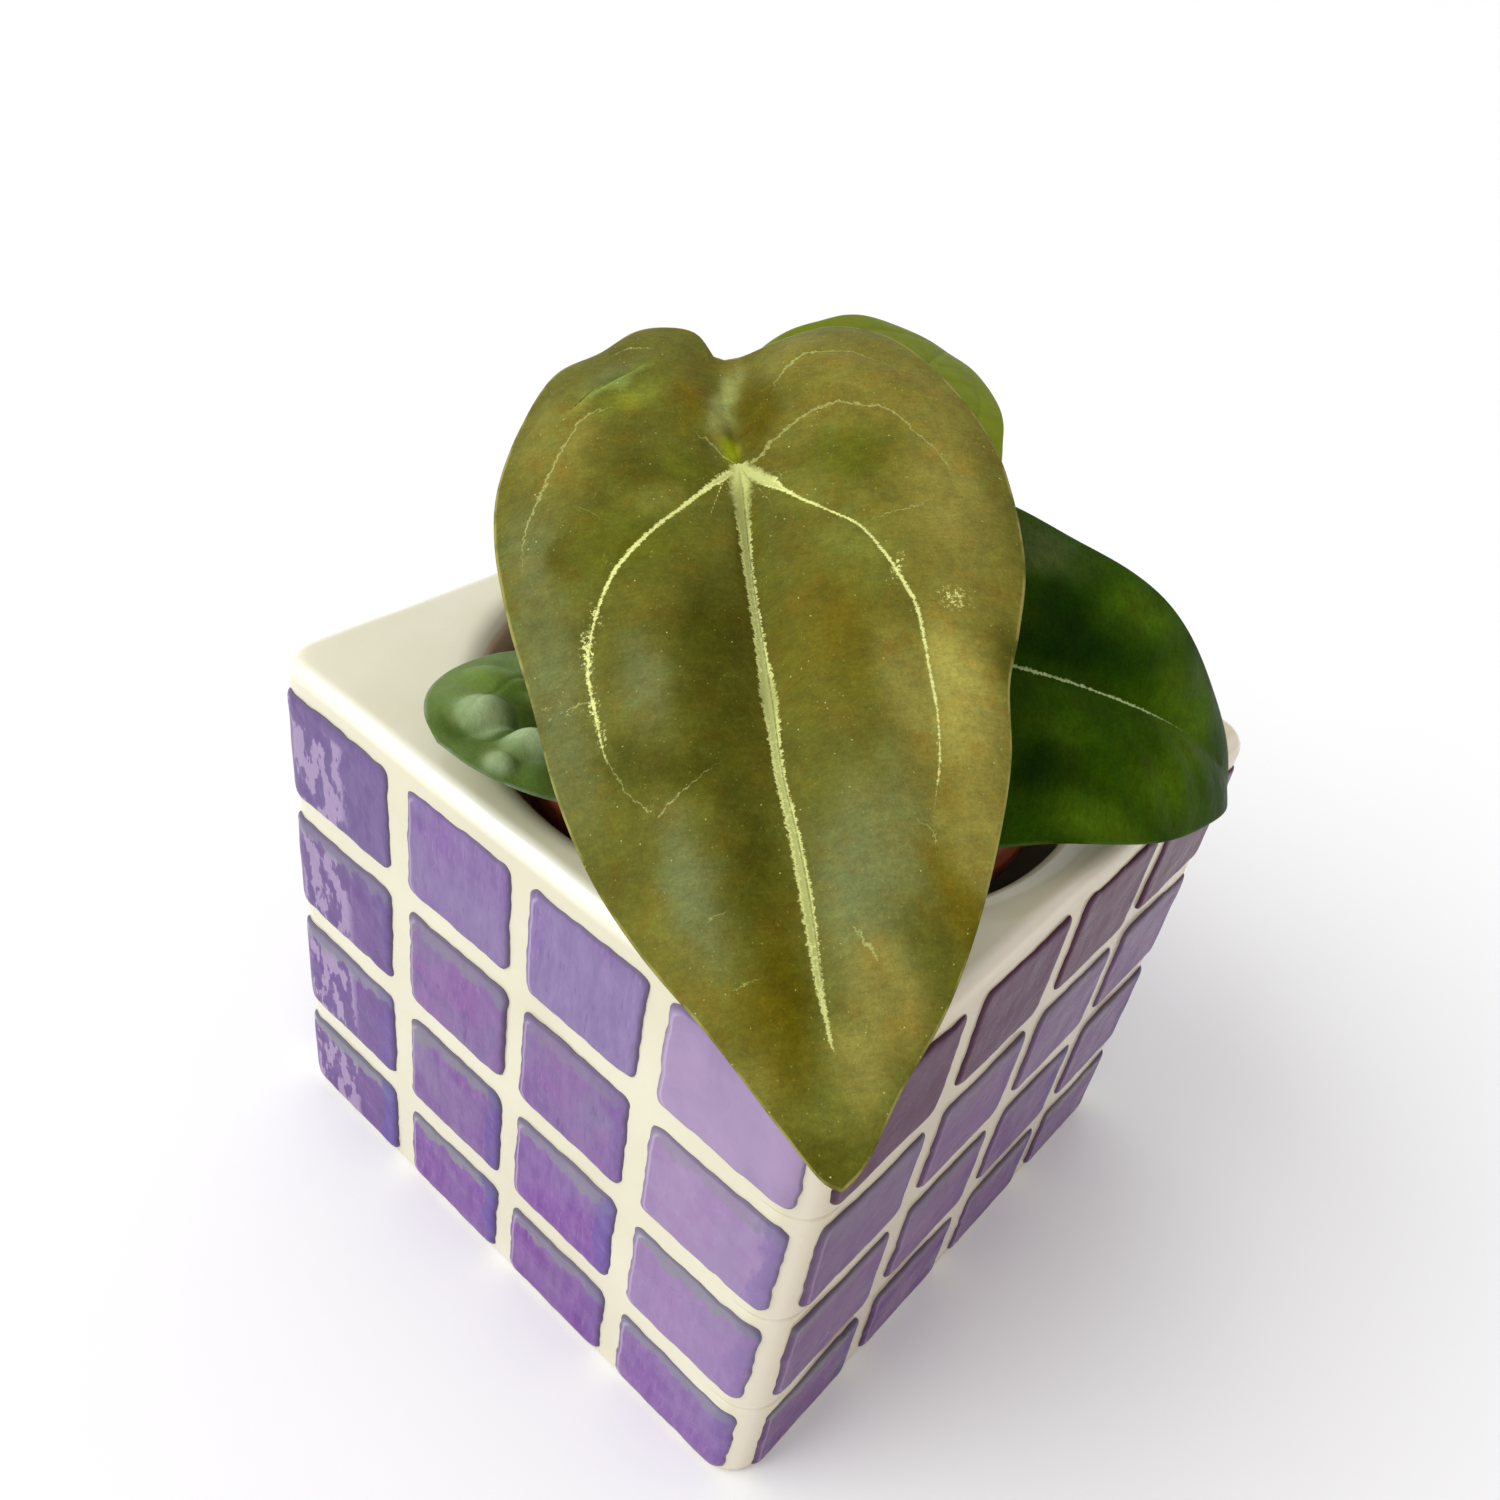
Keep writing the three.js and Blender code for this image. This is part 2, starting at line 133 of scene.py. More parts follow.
def ripple(points, length, seed):
    """A soft unevenness of about that length, mostly between -1 and 1."""
    draw = np.random.default_rng(seed)
    total = np.zeros(len(points))
    for _ in range(7):
        direction = draw.normal(size=points.shape[1])
        direction *= 2 * math.pi / (length * draw.uniform(0.7, 1.6) * np.linalg.norm(direction))
        total += np.sin(points @ direction + draw.uniform(0, 2 * math.pi))
    return total / 3


def quarter(count, start=0.0):
    return np.linspace(start, math.pi / 2, count)


def body_rings():
    """Rows of the body as inset from the square, radius of the circle, share of the circle, and height."""
    rings = [(0, r, 1, BASE_RECESS) for r in (0, 12, 24, 35)]
    rings += [(0, 35.6, 1, 0.1), (0, 36, 1, 0), (2.0, 40, 0.5, 0), (0.36, 40, 0, 0)]
    rings += [(0.15, 0, 0, 0.4), (0.04, 0, 0, 0.8)]
    wall = list(np.linspace(BASE_EDGE_START, BODY_HEIGHT - TOP_EDGE, 44))
    for seam in SEAM_LINES:
        wall += [seam + step for step in SEAM_STEPS]
    rings += [(0, 0, 0, z) for z in sorted(wall)]
    for a in quarter(8)[1:]:
        rings.append((TOP_EDGE * (1 - math.cos(a)), 0, 0, BODY_HEIGHT - TOP_EDGE * (1 - math.sin(a))))
    mouth_edge = MOUTH_RADIUS + MOUTH_LIP
    rings += [(TOP_EDGE, mouth_edge, share, BODY_HEIGHT) for share in np.linspace(0, 1, 10)[1:]]
    for a in quarter(9)[1:]:
        rings.append((0, mouth_edge - MOUTH_LIP * math.sin(a), 1, BODY_HEIGHT - MOUTH_LIP * (1 - math.cos(a))))
    wall_top, wall_low = BODY_HEIGHT - MOUTH_LIP, WELL_FLOOR + WELL_FILLET
    for share in np.linspace(0, 1, 15)[1:]:
        radius = MOUTH_RADIUS + (WELL_BASE_RADIUS - MOUTH_RADIUS) * share
        rings.append((0, radius, 1, wall_top + (wall_low - wall_top) * share))
    for a in quarter(6)[1:]:
        inner = WELL_BASE_RADIUS - WELL_FILLET * (1 - math.cos(a))
        rings.append((0, inner, 1, wall_low - WELL_FILLET * math.sin(a)))
    rings += [(0, r, 1, WELL_FLOOR) for r in (24, 12, 0)]
    return np.array(rings, float)


def square_stations():
    """Stations round the square: the middle of each corner's rounding, and the way from there to the outline."""
    centres, outward, corner = [], [], []
    for turn in range(4):
        angle = turn * math.pi / 2
        for share in np.arange(SIDE_STATIONS) / SIDE_STATIONS:
            centres.append((2 * share - 1, -1, angle))
            outward.append(-math.pi / 2 + angle)
            corner.append(0.0)
        for share in np.arange(CORNER_STATIONS) / CORNER_STATIONS:
            centres.append((1, -1, angle))
            outward.append((share - 1) * math.pi / 2 + angle)
            corner.append(1.0)
    centres.append(centres[0])
    outward.append(outward[0])
    corner.append(corner[0])
    return np.array(centres), np.array(outward), np.array(corner)


def turned(x, y, angle):
    return x * np.cos(angle) - y * np.sin(angle), x * np.sin(angle) + y * np.cos(angle)


rings = body_rings()
centres, outward, at_corner = square_stations()


def body_points(row, column):
    inset, radius, roundness, height = rings[row].T
    curve = np.maximum(BODY_CORNER - inset, LEAST_CORNER)
    middle = BODY_HALF - inset - curve
    x, y = turned(centres[column, 0] * middle, centres[column, 1] * middle, centres[column, 2])
    way = outward[column]
    x, y = x + curve * np.cos(way), y + curve * np.sin(way)
    around = np.arctan2(y, x)
    x = x * (1 - roundness) + radius * np.cos(around) * roundness
    y = y * (1 - roundness) + radius * np.sin(around) * roundness
    for seam in SEAM_LINES:
        groove = SEAM_SIZE * np.exp(-(((height - seam) / SEAM_SIZE) ** 2)) * at_corner[column] * (roundness == 0)
        x, y = x - groove * np.cos(way), y - groove * np.sin(way)
    points = np.column_stack([x, y, height])
    outside = (roundness == 0) * (height > 1) * (inset < TOP_EDGE)
    swell = WALL_SWELL * ripple(points, 22, 3) * outside
    points[:, 0] += swell * np.cos(way)
    points[:, 1] += swell * np.sin(way)
    points[:, 2] += RIM_SWELL * ripple(points, 26, 4) * (height > BODY_HEIGHT - 1.5)
    return points


body = wrapped_grid("cachepot_body", len(rings), len(centres), body_points)
close_seams()


def put(tree, kind, inputs=None, **settings):
    """Adds a shader node, with each input either a plain value or another node's output."""
    made = tree.nodes.new("ShaderNode" + kind)
    for key, value in settings.items():
        setattr(made, key, value)
    for key, value in (inputs or {}).items():
        if isinstance(value, bpy.types.NodeSocket):
            tree.links.new(value, made.inputs[key])
        else:
            made.inputs[key].default_value = value
    return made


def noise(tree, place, scale, detail=2.0, roughness=0.5, stretch=(1, 1, 1), shift=0.0):
    """Clouded noise from 0 to 1; scale is how many clouds there are in one unit of place."""
    placed = put(tree, "Mapping", {"Vector": place, "Scale": stretch, "Location": (0, 0, shift)}).outputs[0]
    values = {"Vector": placed, "Scale": scale, "Detail": detail, "Roughness": roughness}
    return put(tree, "TexNoise", values).outputs[0]


def between(tree, value, low, high, to_low=0.0, to_high=1.0):
    """Maps value from low..high to to_low..to_high, and stops at both."""
    ends = {"Value": value, 1: low, 2: high, 3: to_low, 4: to_high}
    return put(tree, "MapRange", ends, clamp=True).outputs[0]


def mix(tree, share, first, second, blend="MIX"):
    """The first colour, turned into the second by that share."""
    made = put(tree, "Mix", data_type="RGBA", blend_type=blend)
    for key, value in ((0, share), (6, first), (7, second)):
        if isinstance(value, bpy.types.NodeSocket):
            tree.links.new(value, made.inputs[key])
        else:
            made.inputs[key].default_value = value if key == 0 else (*value, 1)
    return made.outputs[2]


def sums(operation):
    """Makes a function that adds one kind of maths node."""
    def add_node(tree, first, second=0.0):
        return put(tree, "Math", {0: first, 1: second}, operation=operation).outputs[0]
    return add_node


times, plus, minus = sums("MULTIPLY"), sums("ADD"), sums("SUBTRACT")
greater, lesser, unsigned = sums("MAXIMUM"), sums("MINIMUM"), sums("ABSOLUTE")


def bumps(tree, heights):
    """Stacks bump maps, each given as height, strength and depth in metres."""
    normal = None
    for height, strength, depth in heights:
        values = {"Height": height, "Strength": strength, "Distance": depth}
        if normal is not None:
            values["Normal"] = normal
        normal = put(tree, "Bump", values).outputs[0]
    return normal


def own_place(tree):
    """The point's place on the piece itself, in metres."""
    return put(tree, "TexCoord").outputs["Object"]


def new_material(name):
    material = bpy.data.materials.new(name)
    material.use_nodes = True
    return material, material.node_tree


def finish(material, colour, roughness, normal, **constants):
    """Sets the surface of a material; constants are plain numbers on the shader's own sockets."""
    tree = material.node_tree
    shader = tree.nodes["Principled BSDF"]
    for key, value in (("Base Color", colour), ("Roughness", roughness), ("Normal", normal)):
        if isinstance(value, bpy.types.NodeSocket):
            tree.links.new(value, shader.inputs[key])
        elif value is not None:
            shader.inputs[key].default_value = value
    for key, value in constants.items():
        shader.inputs[key.replace("_", " ")].default_value = value
    return material


def cream_glaze():
    material, tree = new_material("cream_glaze")
    place = own_place(tree)
    along_x, along_y, height = put(tree, "SeparateXYZ", {0: place}).outputs
    clouds = noise(tree, place, 55, 3)
    grain = noise(tree, place, 900, 2)
    colour = mix(tree, between(tree, clouds, 0.35, 0.7), (0.735, 0.70, 0.52), (0.675, 0.635, 0.45))
    from_middle = [unsigned(tree, way) for way in (along_x, along_y)]
    # Painted highlight: the rounded top edge of the rim and the upright corners are painted paler, standing in for
    # light caught by the glossy edges.
    at_rim = between(tree, greater(tree, *from_middle), 0.0424, 0.0434)
    at_rim = times(tree, at_rim, between(tree, height, 0.0746, 0.0757))
    at_corner_edge = between(tree, lesser(tree, *from_middle), 0.0412, 0.0428, 0, 0.5)
    painted_edge_highlight = times(tree, greater(tree, at_rim, at_corner_edge), between(tree, clouds, 0.3, 0.6, 0.6, 1))
    colour = mix(tree, painted_edge_highlight, colour, (0.90, 0.88, 0.76))
    # Painted shade: the cream on the right side, turned away from the light, is painted darker and warmer.
    painted_shade_on_right_side = between(tree, along_x, 0.0405, 0.0443)
    colour = mix(tree, painted_shade_on_right_side, colour, (0.96, 0.88, 0.83), "MULTIPLY")
    colour = mix(tree, between(tree, grain, 0.62, 0.75, 0, 0.15), colour, (0.62, 0.56, 0.38))
    bare_foot = between(tree, height, 0.0003, 0.0009, 1, 0)
    colour = mix(tree, bare_foot, colour, (0.63, 0.54, 0.42))
    rough = between(tree, bare_foot, 0, 1, 0.24, 0.75)
    normal = bumps(tree, [(clouds, 0.25, 0.0006), (noise(tree, place, 240, 2), 0.12, 0.0003)])
    return finish(material, colour, rough, normal, Coat_Weight=0.45, Coat_Roughness=0.08, IOR=1.5)


body.data.materials.append(cream_glaze())
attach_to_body(body, "root")
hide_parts("pot")

# Tiles: four rows of four pads on each side, cast with the body, standing nearly half a millimetre out of it and
# brushed with a violet glaze. The glaze stops at wavering edges, pools below them and runs thin along their tops.
TILE_RELIEF = 0.42
TILE_ROUNDING = 0.8
TILE_CORNER = 1.35
TILE_ROOT = 0.6
FRONT_COLUMNS = ((-42.4, -21.9), (-18.3, -0.4), (2.6, 20.2), (23.3, 42.3))
OTHER_COLUMNS = ((-41.2, -23.0), (-19.4, -1.8), (1.8, 19.4), (23.0, 41.3))
TILE_ROWS = ((0.9, 14.6), (18.2, 34.0), (37.6, 53.3), (56.7, 72.8))
TILE_INSETS = (0.95, 1.3, 1.8, 2.5, 3.4, 4.5, 5.8)
TILE_STATIONS = (30, 24, 6)
TILE_WAVES = ((3, 0.08), (7, 0.07), (11, 0.06), (19, 0.05), (31, 0.035))
TILE_BITE = 0.07


def tile_stations():
    """Stations round a tile: sign of the corner's middle, share along the side, and the way outwards."""
    wide, tall, corner = TILE_STATIONS
    rows = []
    for side, count in enumerate((wide, tall, wide, tall)):
        angle = side * math.pi / 2
        rows += [(side, share, angle - math.pi / 2) for share in np.arange(count) / count]
        rows += [(side, 1.0, angle - math.pi / 2 * (1 - share)) for share in np.arange(corner) / corner]
    return np.array(rows + rows[:1])


def on_side(along, height, out, turn):
    """A point of one side of the pot, from its way along the side, its height, and how far it stands out."""
    flat = BODY_HALF - BODY_CORNER
    beyond = np.maximum(np.abs(along) - flat, 0) / BODY_CORNER
    sign = np.sign(along)
    x = sign * (np.minimum(np.abs(along), flat) + (BODY_CORNER + out) * np.sin(beyond))
    y = -flat - (BODY_CORNER + out) * np.cos(beyond)
    x, y = turned(x, y, turn * math.pi / 2)
    return np.column_stack([x, y, height])


stations = tile_stations()
side_of, along_side, station_way = stations.T


def tile(name, turn, column, row, draw):
    half = np.array([column[1] - column[0], row[1] - row[0]]) / 2
    middle = np.array([column[1] + column[0], row[1] + row[0]]) / 2
    profile = [(0, -TILE_ROOT), (0, 0)]
    profile += [(TILE_ROUNDING * (1 - math.cos(a)), TILE_RELIEF * math.sin(a)) for a in quarter(6)[1:]]
    profile += [(d, TILE_RELIEF) for d in (*TILE_INSETS, half[1])]
    insets, heights = np.array(profile).T
    angle = np.linspace(0, 2 * math.pi, len(stations))
    waver = sum(size * np.sin(count * angle + draw.uniform(0, 2 * math.pi)) for count, size in TILE_WAVES)
    bite_at, bite = draw.uniform(0, 2 * math.pi), draw.uniform(0, 0.5)
    waver -= bite * np.exp(-((np.abs(np.angle(np.exp(1j * (angle - bite_at)))) / TILE_BITE) ** 2))
    values = {}

    def place(grid_row, grid_column):
        inset = insets[grid_row]
        size = half[:, None] - inset
        curve = TILE_CORNER * (1 - inset / half[1])
        wide, tall = size - curve
        side, share = side_of[grid_column].astype(int), 2 * along_side[grid_column] - 1
        x = np.choose(side, [share * wide, wide, -share * wide, -wide])
        z = np.choose(side, [-tall, share * tall, tall, -share * tall])
        way = station_way[grid_column]
        reach = curve + waver[grid_column] * np.exp(-inset / 1.4)
        x, z = x + reach * np.cos(way), z + reach * np.sin(way)
        along, height = x + middle[0], z + middle[1]
        uneven = ripple(np.column_stack([along + 97 * turn, height]), 7, 11)
        pooled = 0.05 * np.exp(-(((inset - 1.3) / 0.8) ** 2)) + 0.045 * uneven * np.minimum(inset, 1)
        out = heights[grid_row] + pooled * (heights[grid_row] > 0.3)
        points = on_side(along, height, out, turn)
        values["face"] = np.column_stack([along, height, np.full(len(x), 40 * turn + draw_number)])
        values["share"] = np.column_stack([x / half[0], z / half[1], inset])
        return points

    draw_number = draw.uniform(0, 30)
    low = 1 - row[0] / TILE_ROWS[-1][0]
    end_of_side = turn == 0 and column[0] < -40
    near_end = 0.9 * (column[0] > 20) if turn == 0 else draw.uniform(0, 0.35)
    tone = np.array([0.1 + 0.6 * low + draw.uniform(0, 0.3), low ** 0.4 * draw.uniform(0.6, 1), end_of_side])
    # On the right side shade is painted into the glaze: every tile darker, and the top row darkest as a painted
    # shadow of the leaves. On the other sides this is only a slight random darkening.
    shade = 1 - 0.5 * (low > 0) if turn == 1 else draw.uniform(0, 0.2)
    dusk = np.array([shade, draw.uniform(0.2, 1) * low, draw.uniform(0, 1) * (low > 0)])
    made = wrapped_grid(name, len(profile), len(stations), place)
    count = len(stations) * len(profile)
    values.update(tone=np.tile(tone, (count, 1)), dusk=np.tile(dusk, (count, 1)))
    values["washed"] = np.full(count, near_end * (1 - low) ** 0.5)
    keep_values(made, values)
    bpy.ops.object.mode_set(mode="EDIT")
    bpy.ops.mesh.select_all(action="SELECT")
    bpy.ops.mesh.remove_doubles(threshold=WELD)
    bpy.ops.mesh.select_all(action="DESELECT")
    bpy.ops.mesh.select_non_manifold()
    bpy.ops.mesh.edge_face_add()
    face_outwards()
    bpy.ops.object.shade_smooth_by_angle(angle=math.radians(50))
    return made


def join(pieces, name):
    deselect()
    for piece in pieces:
        piece.select_set(True)
    bpy.context.view_layer.objects.active = pieces[0]
    bpy.ops.object.join()
    pieces[0].name = pieces[0].data.name = name
    return pieces[0]


def attribute(tree, name):
    return put(tree, "Attribute", attribute_name=name).outputs["Vector"]


def parts_of(tree, vector):
    return put(tree, "SeparateXYZ", {0: vector}).outputs


def violet_glaze():
    material, tree = new_material("violet_glaze")
    face = attribute(tree, "face")
    across, up, inset = parts_of(tree, attribute(tree, "share"))
    purple, thin, patchy = parts_of(tree, attribute(tree, "tone"))
    dusk, blue_end, magenta = parts_of(tree, attribute(tree, "dusk"))
    washed = put(tree, "Attribute", attribute_name="washed").outputs["Fac"]
    clouds = noise(tree, face, 0.12, 2)
    strokes = noise(tree, face, 0.9, 4, 0.6, stretch=(1, 0.22, 1))
    hairs = noise(tree, face, 3.2, 3, 0.6, stretch=(1, 0.12, 1))
    lavender = mix(tree, between(tree, strokes, 0.35, 0.7), (0.218, 0.160, 0.325), (0.268, 0.200, 0.375))
    deep = mix(tree, between(tree, strokes, 0.35, 0.65), (0.170, 0.062, 0.285), (0.235, 0.105, 0.350))
    share = plus(tree, times(tree, clouds, 0.9), times(tree, purple, 0.7))
    colour = mix(tree, between(tree, share, 0.62, 1.10), lavender, deep)
    thinned = times(tree, washed, between(tree, clouds, 0.3, 0.6, 0.6, 1))
    colour = mix(tree, thinned, colour, (0.395, 0.295, 0.460))
    rosy = times(tree, between(tree, noise(tree, face, 0.16, 3), 0.46, 0.54), magenta)
    colour = mix(tree, times(tree, rosy, 0.4), colour, (0.300, 0.140, 0.370))
    marks = times(tree, between(tree, hairs, 0.56, 0.68), between(tree, clouds, 0.42, 0.6))
    calm = between(tree, dusk, 0.25, 0.45, 0.4, 0.08)
    colour = mix(tree, times(tree, marks, calm), colour, (0.38, 0.28, 0.47))
    dark_marks = between(tree, noise(tree, face, 1.8, 3, 0.6, stretch=(1, 0.16, 1)), 0.6, 0.72)
    unwashed = between(tree, washed, 0.1, 0.5, 1, 0)
    dark_marks = times(tree, dark_marks, times(tree, calm, unwashed))
    colour = mix(tree, dark_marks, colour, (0.12, 0.055, 0.22))
    runs = noise(tree, face, 0.30, 3, 0.6, stretch=(1.5, 0.6, 1))
    # Painted reflection: the pale patches in the leftmost column of the left side stand in for a window reflected in
    # the uneven glaze.
    pale = times(tree, between(tree, runs, 0.50, 0.53), between(tree, across, 0.25, 0.1))
    pale = times(tree, pale, between(tree, across, -0.86, -0.8))
    pale = times(tree, pale, times(tree, patchy, between(tree, up, 0.8, 0.7, 0, 0.85)))
    deepened = times(tree, patchy, between(tree, runs, 0.5, 0.42, 0.6, 0.8))
    colour = mix(tree, deepened, colour, (0.125, 0.075, 0.215))
    colour = mix(tree, pale, colour, (0.37, 0.28, 0.44))
    wander = times(tree, minus(tree, runs, 0.5), 0.9)
    top = between(tree, plus(tree, up, wander), 0.64, 0.74)
    colour = mix(tree, times(tree, top, thin), colour, (0.235, 0.240, 0.275))
    end = between(tree, plus(tree, across, wander), 0.66, 0.78)
    colour = mix(tree, times(tree, end, blue_end), colour, (0.11, 0.085, 0.32))
    # Painted highlight: a pale line just inside each tile's left edge, where the rounded edge catches the light.
    line = times(tree, between(tree, inset, 0.55, 0.7), between(tree, inset, 1.0, 0.85))
    line = times(tree, line, between(tree, across, -0.8, -0.88, 0, 0.5))
    colour = mix(tree, line, colour, (0.52, 0.44, 0.60))
    rim = between(tree, inset, 0.16, 0.5, 0.65, 0)
    colour = mix(tree, rim, colour, (0.125, 0.105, 0.155))
    # Painted shade: the glaze is darkened by the first share of that attribute.
    shaded = mix(tree, 1.0, colour, (0.42, 0.22, 0.24), "MULTIPLY")
    colour = mix(tree, dusk, colour, shaded)
    rough = between(tree, clouds, 0.3, 0.7, 0.24, 0.32)
    waves = noise(tree, face, 0.3, 2)
    normal = bumps(tree, [(waves, 0.3, 0.0008)])
    return finish(material, colour, rough, normal, Specular_IOR_Level=0.07)


glaze = violet_glaze()
tile_draw = np.random.default_rng(21)
for turn, side_name in enumerate(("left", "right", "rear_right", "rear_left")):
    pads = [
        tile(f"tile_{turn}", turn, column, row, tile_draw)
        for column in (OTHER_COLUMNS if turn else FRONT_COLUMNS)
        for row in TILE_ROWS
    ]
    side_tiles = join(pads, "tiles_" + side_name)
    side_tiles.data.materials.clear()
    side_tiles.data.materials.append(glaze)
    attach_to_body(side_tiles, "root")
    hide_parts("pot")

# Nursery pot: a thin tapered pot of red-brown polypropylene with a rolled rim and drain holes, blow moulded
# in one piece. It stands loose on the floor of the cachepot's well.
LINER_RINGS = (
    (24.0, 6.3), (24.7, 6.5), (25.0, 7.3), (32.5, 68.6), (33.6, 68.9), (33.9, 69.4), (34.1, 72.0),
    (33.9, 72.5), (33.4, 72.8), (32.4, 72.8), (32.0, 72.5), (31.8, 72.0), (23.95, 7.9),
)
LINER_SIDES = 96
DRAIN_HOLES = 4
DRAIN_CIRCLE = 15
DRAIN_RADIUS = 3
DRILL_LENGTH = 6


def drawn_up(name, rings, sides):
    """A disc that is extruded and resized from ring to ring, each a radius and a height in mm."""
    deselect()
    radius, height = rings[0]
    bpy.ops.mesh.primitive_circle_add(
        vertices=sides, radius=radius * MM, fill_type="NGON", location=(0, 0, height * MM)
    )
    piece = bpy.context.object
    piece.name = piece.data.name = name
    bpy.ops.object.transform_apply(location=True, rotation=False, scale=False)
    bpy.ops.object.mode_set(mode="EDIT")
    for (last_radius, last_height), (radius, height) in zip(rings, rings[1:]):
        rise = (0, 0, (height - last_height) * MM)
        bpy.ops.mesh.extrude_region_move(TRANSFORM_OT_translate={"value": rise})
        bpy.ops.transform.resize(value=(radius / last_radius, radius / last_radius, 1))
    face_outwards()
    return piece


def liner_plastic():
    material, tree = new_material("liner_plastic")
    place = own_place(tree)
    dust = noise(tree, place, 160, 4, 0.65)
    scuffs = noise(tree, place, 700, 3, stretch=(1, 1, 0.2))
    height = put(tree, "SeparateXYZ", {0: place}).outputs["Z"]
    colour = mix(tree, between(tree, dust, 0.4, 0.7), (0.19, 0.030, 0.013), (0.26, 0.050, 0.024))
    # Painted highlight: the top of the rolled rim is painted a brighter red.
    colour = mix(tree, between(tree, height, 0.0712, 0.0720, 0, 0.7), colour, (0.48, 0.075, 0.028))
    colour = mix(tree, between(tree, scuffs, 0.6, 0.75, 0, 0.3), colour, (0.36, 0.12, 0.075))
    rough = between(tree, dust, 0.3, 0.7, 0.42, 0.62)
    return finish(material, colour, rough, bumps(tree, [(scuffs, 0.2, 0.0002)]), IOR=1.49)


liner = drawn_up("nursery_pot_shell", LINER_RINGS, LINER_SIDES)
for hole in range(DRAIN_HOLES):
    angle = (hole + 0.5) * 2 * math.pi / DRAIN_HOLES
    deselect()
    bpy.ops.mesh.primitive_cylinder_add(
        vertices=32, radius=DRAIN_RADIUS * MM, depth=DRILL_LENGTH * MM,
        location=(DRAIN_CIRCLE * MM * math.cos(angle), DRAIN_CIRCLE * MM * math.sin(angle), LINER_RINGS[0][1] * MM),
    )
    drill = bpy.context.object
    deselect()
    liner.select_set(True)
    bpy.context.view_layer.objects.active = liner
    bpy.ops.object.modifier_add(type="BOOLEAN")
    liner.modifiers[-1].object = drill
    bpy.ops.object.modifier_apply(modifier=liner.modifiers[-1].name)
    bpy.data.objects.remove(drill)
bpy.ops.object.shade_smooth_by_angle(angle=math.radians(40))
liner.data.materials.clear()
liner.data.materials.append(liner_plastic())
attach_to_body(liner, "root")
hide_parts("nursery_pot")

# Potting mix: an airy mix for aroids, of dark peat and coir with chips of pine bark and white perlite.
# It fills the nursery pot to eight millimetres below the rim and is heaped a little round the stem.
MIX_TOP = 64.8
MIX_RADIUS = 30.4
MIX_BASE = (23.5, 8.1)
SOIL_ROWS = 90
SOIL_COLUMNS = 240
BARK_COUNT = 90
PERLITE_COUNT = 46
GOLDEN_ANGLE = 2.39996
CHIP_WELD = 0.00008


def soil_height(points):
    """How the surface of the mix lies: heaped at the stem, with lumps and crumbs."""
    reach = np.hypot(points[:, 0], points[:, 1])
    heap = 1.3 * np.exp(-((reach / 12) ** 2)) - 0.4 * np.exp(-(((reach - MIX_RADIUS) / 3) ** 2))
    lumps = 0.55 * ripple(points, 7, 31) + 0.3 * ripple(points, 3, 32) + 0.2 * np.abs(ripple(points, 1.4, 33))
    return MIX_TOP + heap + lumps


def soil_points(row, column):
    angle = column / (SOIL_COLUMNS - 1) * 2 * math.pi
    surface = SOIL_ROWS - 4
    reach = MIX_RADIUS * np.minimum(row / surface, 1)
    points = np.column_stack([reach * np.cos(angle), reach * np.sin(angle)])
    height = soil_height(points)
    wall = row > surface
    low = np.clip((row - surface) / 2, 0, 1)
    height = np.where(wall, height * (1 - low) + MIX_BASE[1] * low, height)
    reach = np.where(wall, reach * (1 - low) + MIX_BASE[0] * low, reach)
    reach = np.where(row == SOIL_ROWS - 1, 0, reach)
    return np.column_stack([reach * np.cos(angle), reach * np.sin(angle), height])


soil = wrapped_grid("potting_mix_peat", SOIL_ROWS, SOIL_COLUMNS, soil_points)
close_seams()


def mix_material(name, dark, light, scale, rough, spread=(0.4, 0.65)):
    material, tree = new_material(name)
    place = own_place(tree)
    patches = noise(tree, place, scale, 4, 0.65)
    grain = noise(tree, place, scale * 5, 3, 0.6)
    colour = mix(tree, between(tree, patches, *spread), dark, light)
    colour = mix(tree, between(tree, grain, 0.55, 0.7, 0, 0.5), colour, [c * 0.4 for c in dark])
    normal = bumps(tree, [(patches, 0.5, 0.0006), (grain, 0.6, 0.0003)])
    return finish(material, colour, rough, normal)


soil.data.materials.append(mix_material("peat", (0.012, 0.008, 0.005), (0.05, 0.032, 0.02), 500, 0.95))


def chip(name, size, seed):
    """A broken chip: a ball cut by a few planes, with its corners knocked about."""
    draw = np.random.default_rng(seed)
    deselect()
    bpy.ops.mesh.primitive_ico_sphere_add(subdivisions=2, radius=size * MM)
    piece = bpy.context.object
    piece.name = piece.data.name = name
    bpy.ops.object.mode_set(mode="EDIT")
    for _ in range(5):
        normal = draw.normal(size=3)
        normal /= np.linalg.norm(normal)
        bpy.ops.mesh.select_all(action="SELECT")
        bpy.ops.mesh.bisect(
            plane_co=normal * size * MM * draw.uniform(0.45, 0.75), plane_no=normal, use_fill=True, clear_outer=True
        )
    face_outwards(CHIP_WELD * size)
    return piece


def scatter(name, templates, count, seed, stretch, nearest, sink):
    """Copies of the chips, laid over the mix at seeded places and joined as one piece."""
    draw = np.random.default_rng(seed)
    copies = []
    for i in range(count):
        template = templates[i % len(templates)]
        copy = template.copy()
        copy.data = template.data.copy()
        bpy.context.collection.objects.link(copy)
        angle = i * GOLDEN_ANGLE + draw.uniform(0, 0.6)
        reach = nearest + (MIX_RADIUS - 2.6 - nearest) * math.sqrt((i + draw.uniform(0, 1)) / count)
        spot = np.array([[reach * math.cos(angle), reach * math.sin(angle)]])
        height = soil_height(spot)[0] - sink
        size = draw.uniform(0.6, 1.15)
        turn = Matrix.Rotation(draw.uniform(0, 6.28), 4, "Z") @ Matrix.Rotation(draw.normal() * 0.35, 4, "X")
        squash = Matrix.Diagonal((*[size * s for s in stretch], 1))
        copy.data.transform(Matrix.Translation((*(spot[0] * MM), height * MM)) @ turn @ squash)
        copies.append(copy)
    for template in templates:
        bpy.data.objects.remove(template)
    return join(copies, name)


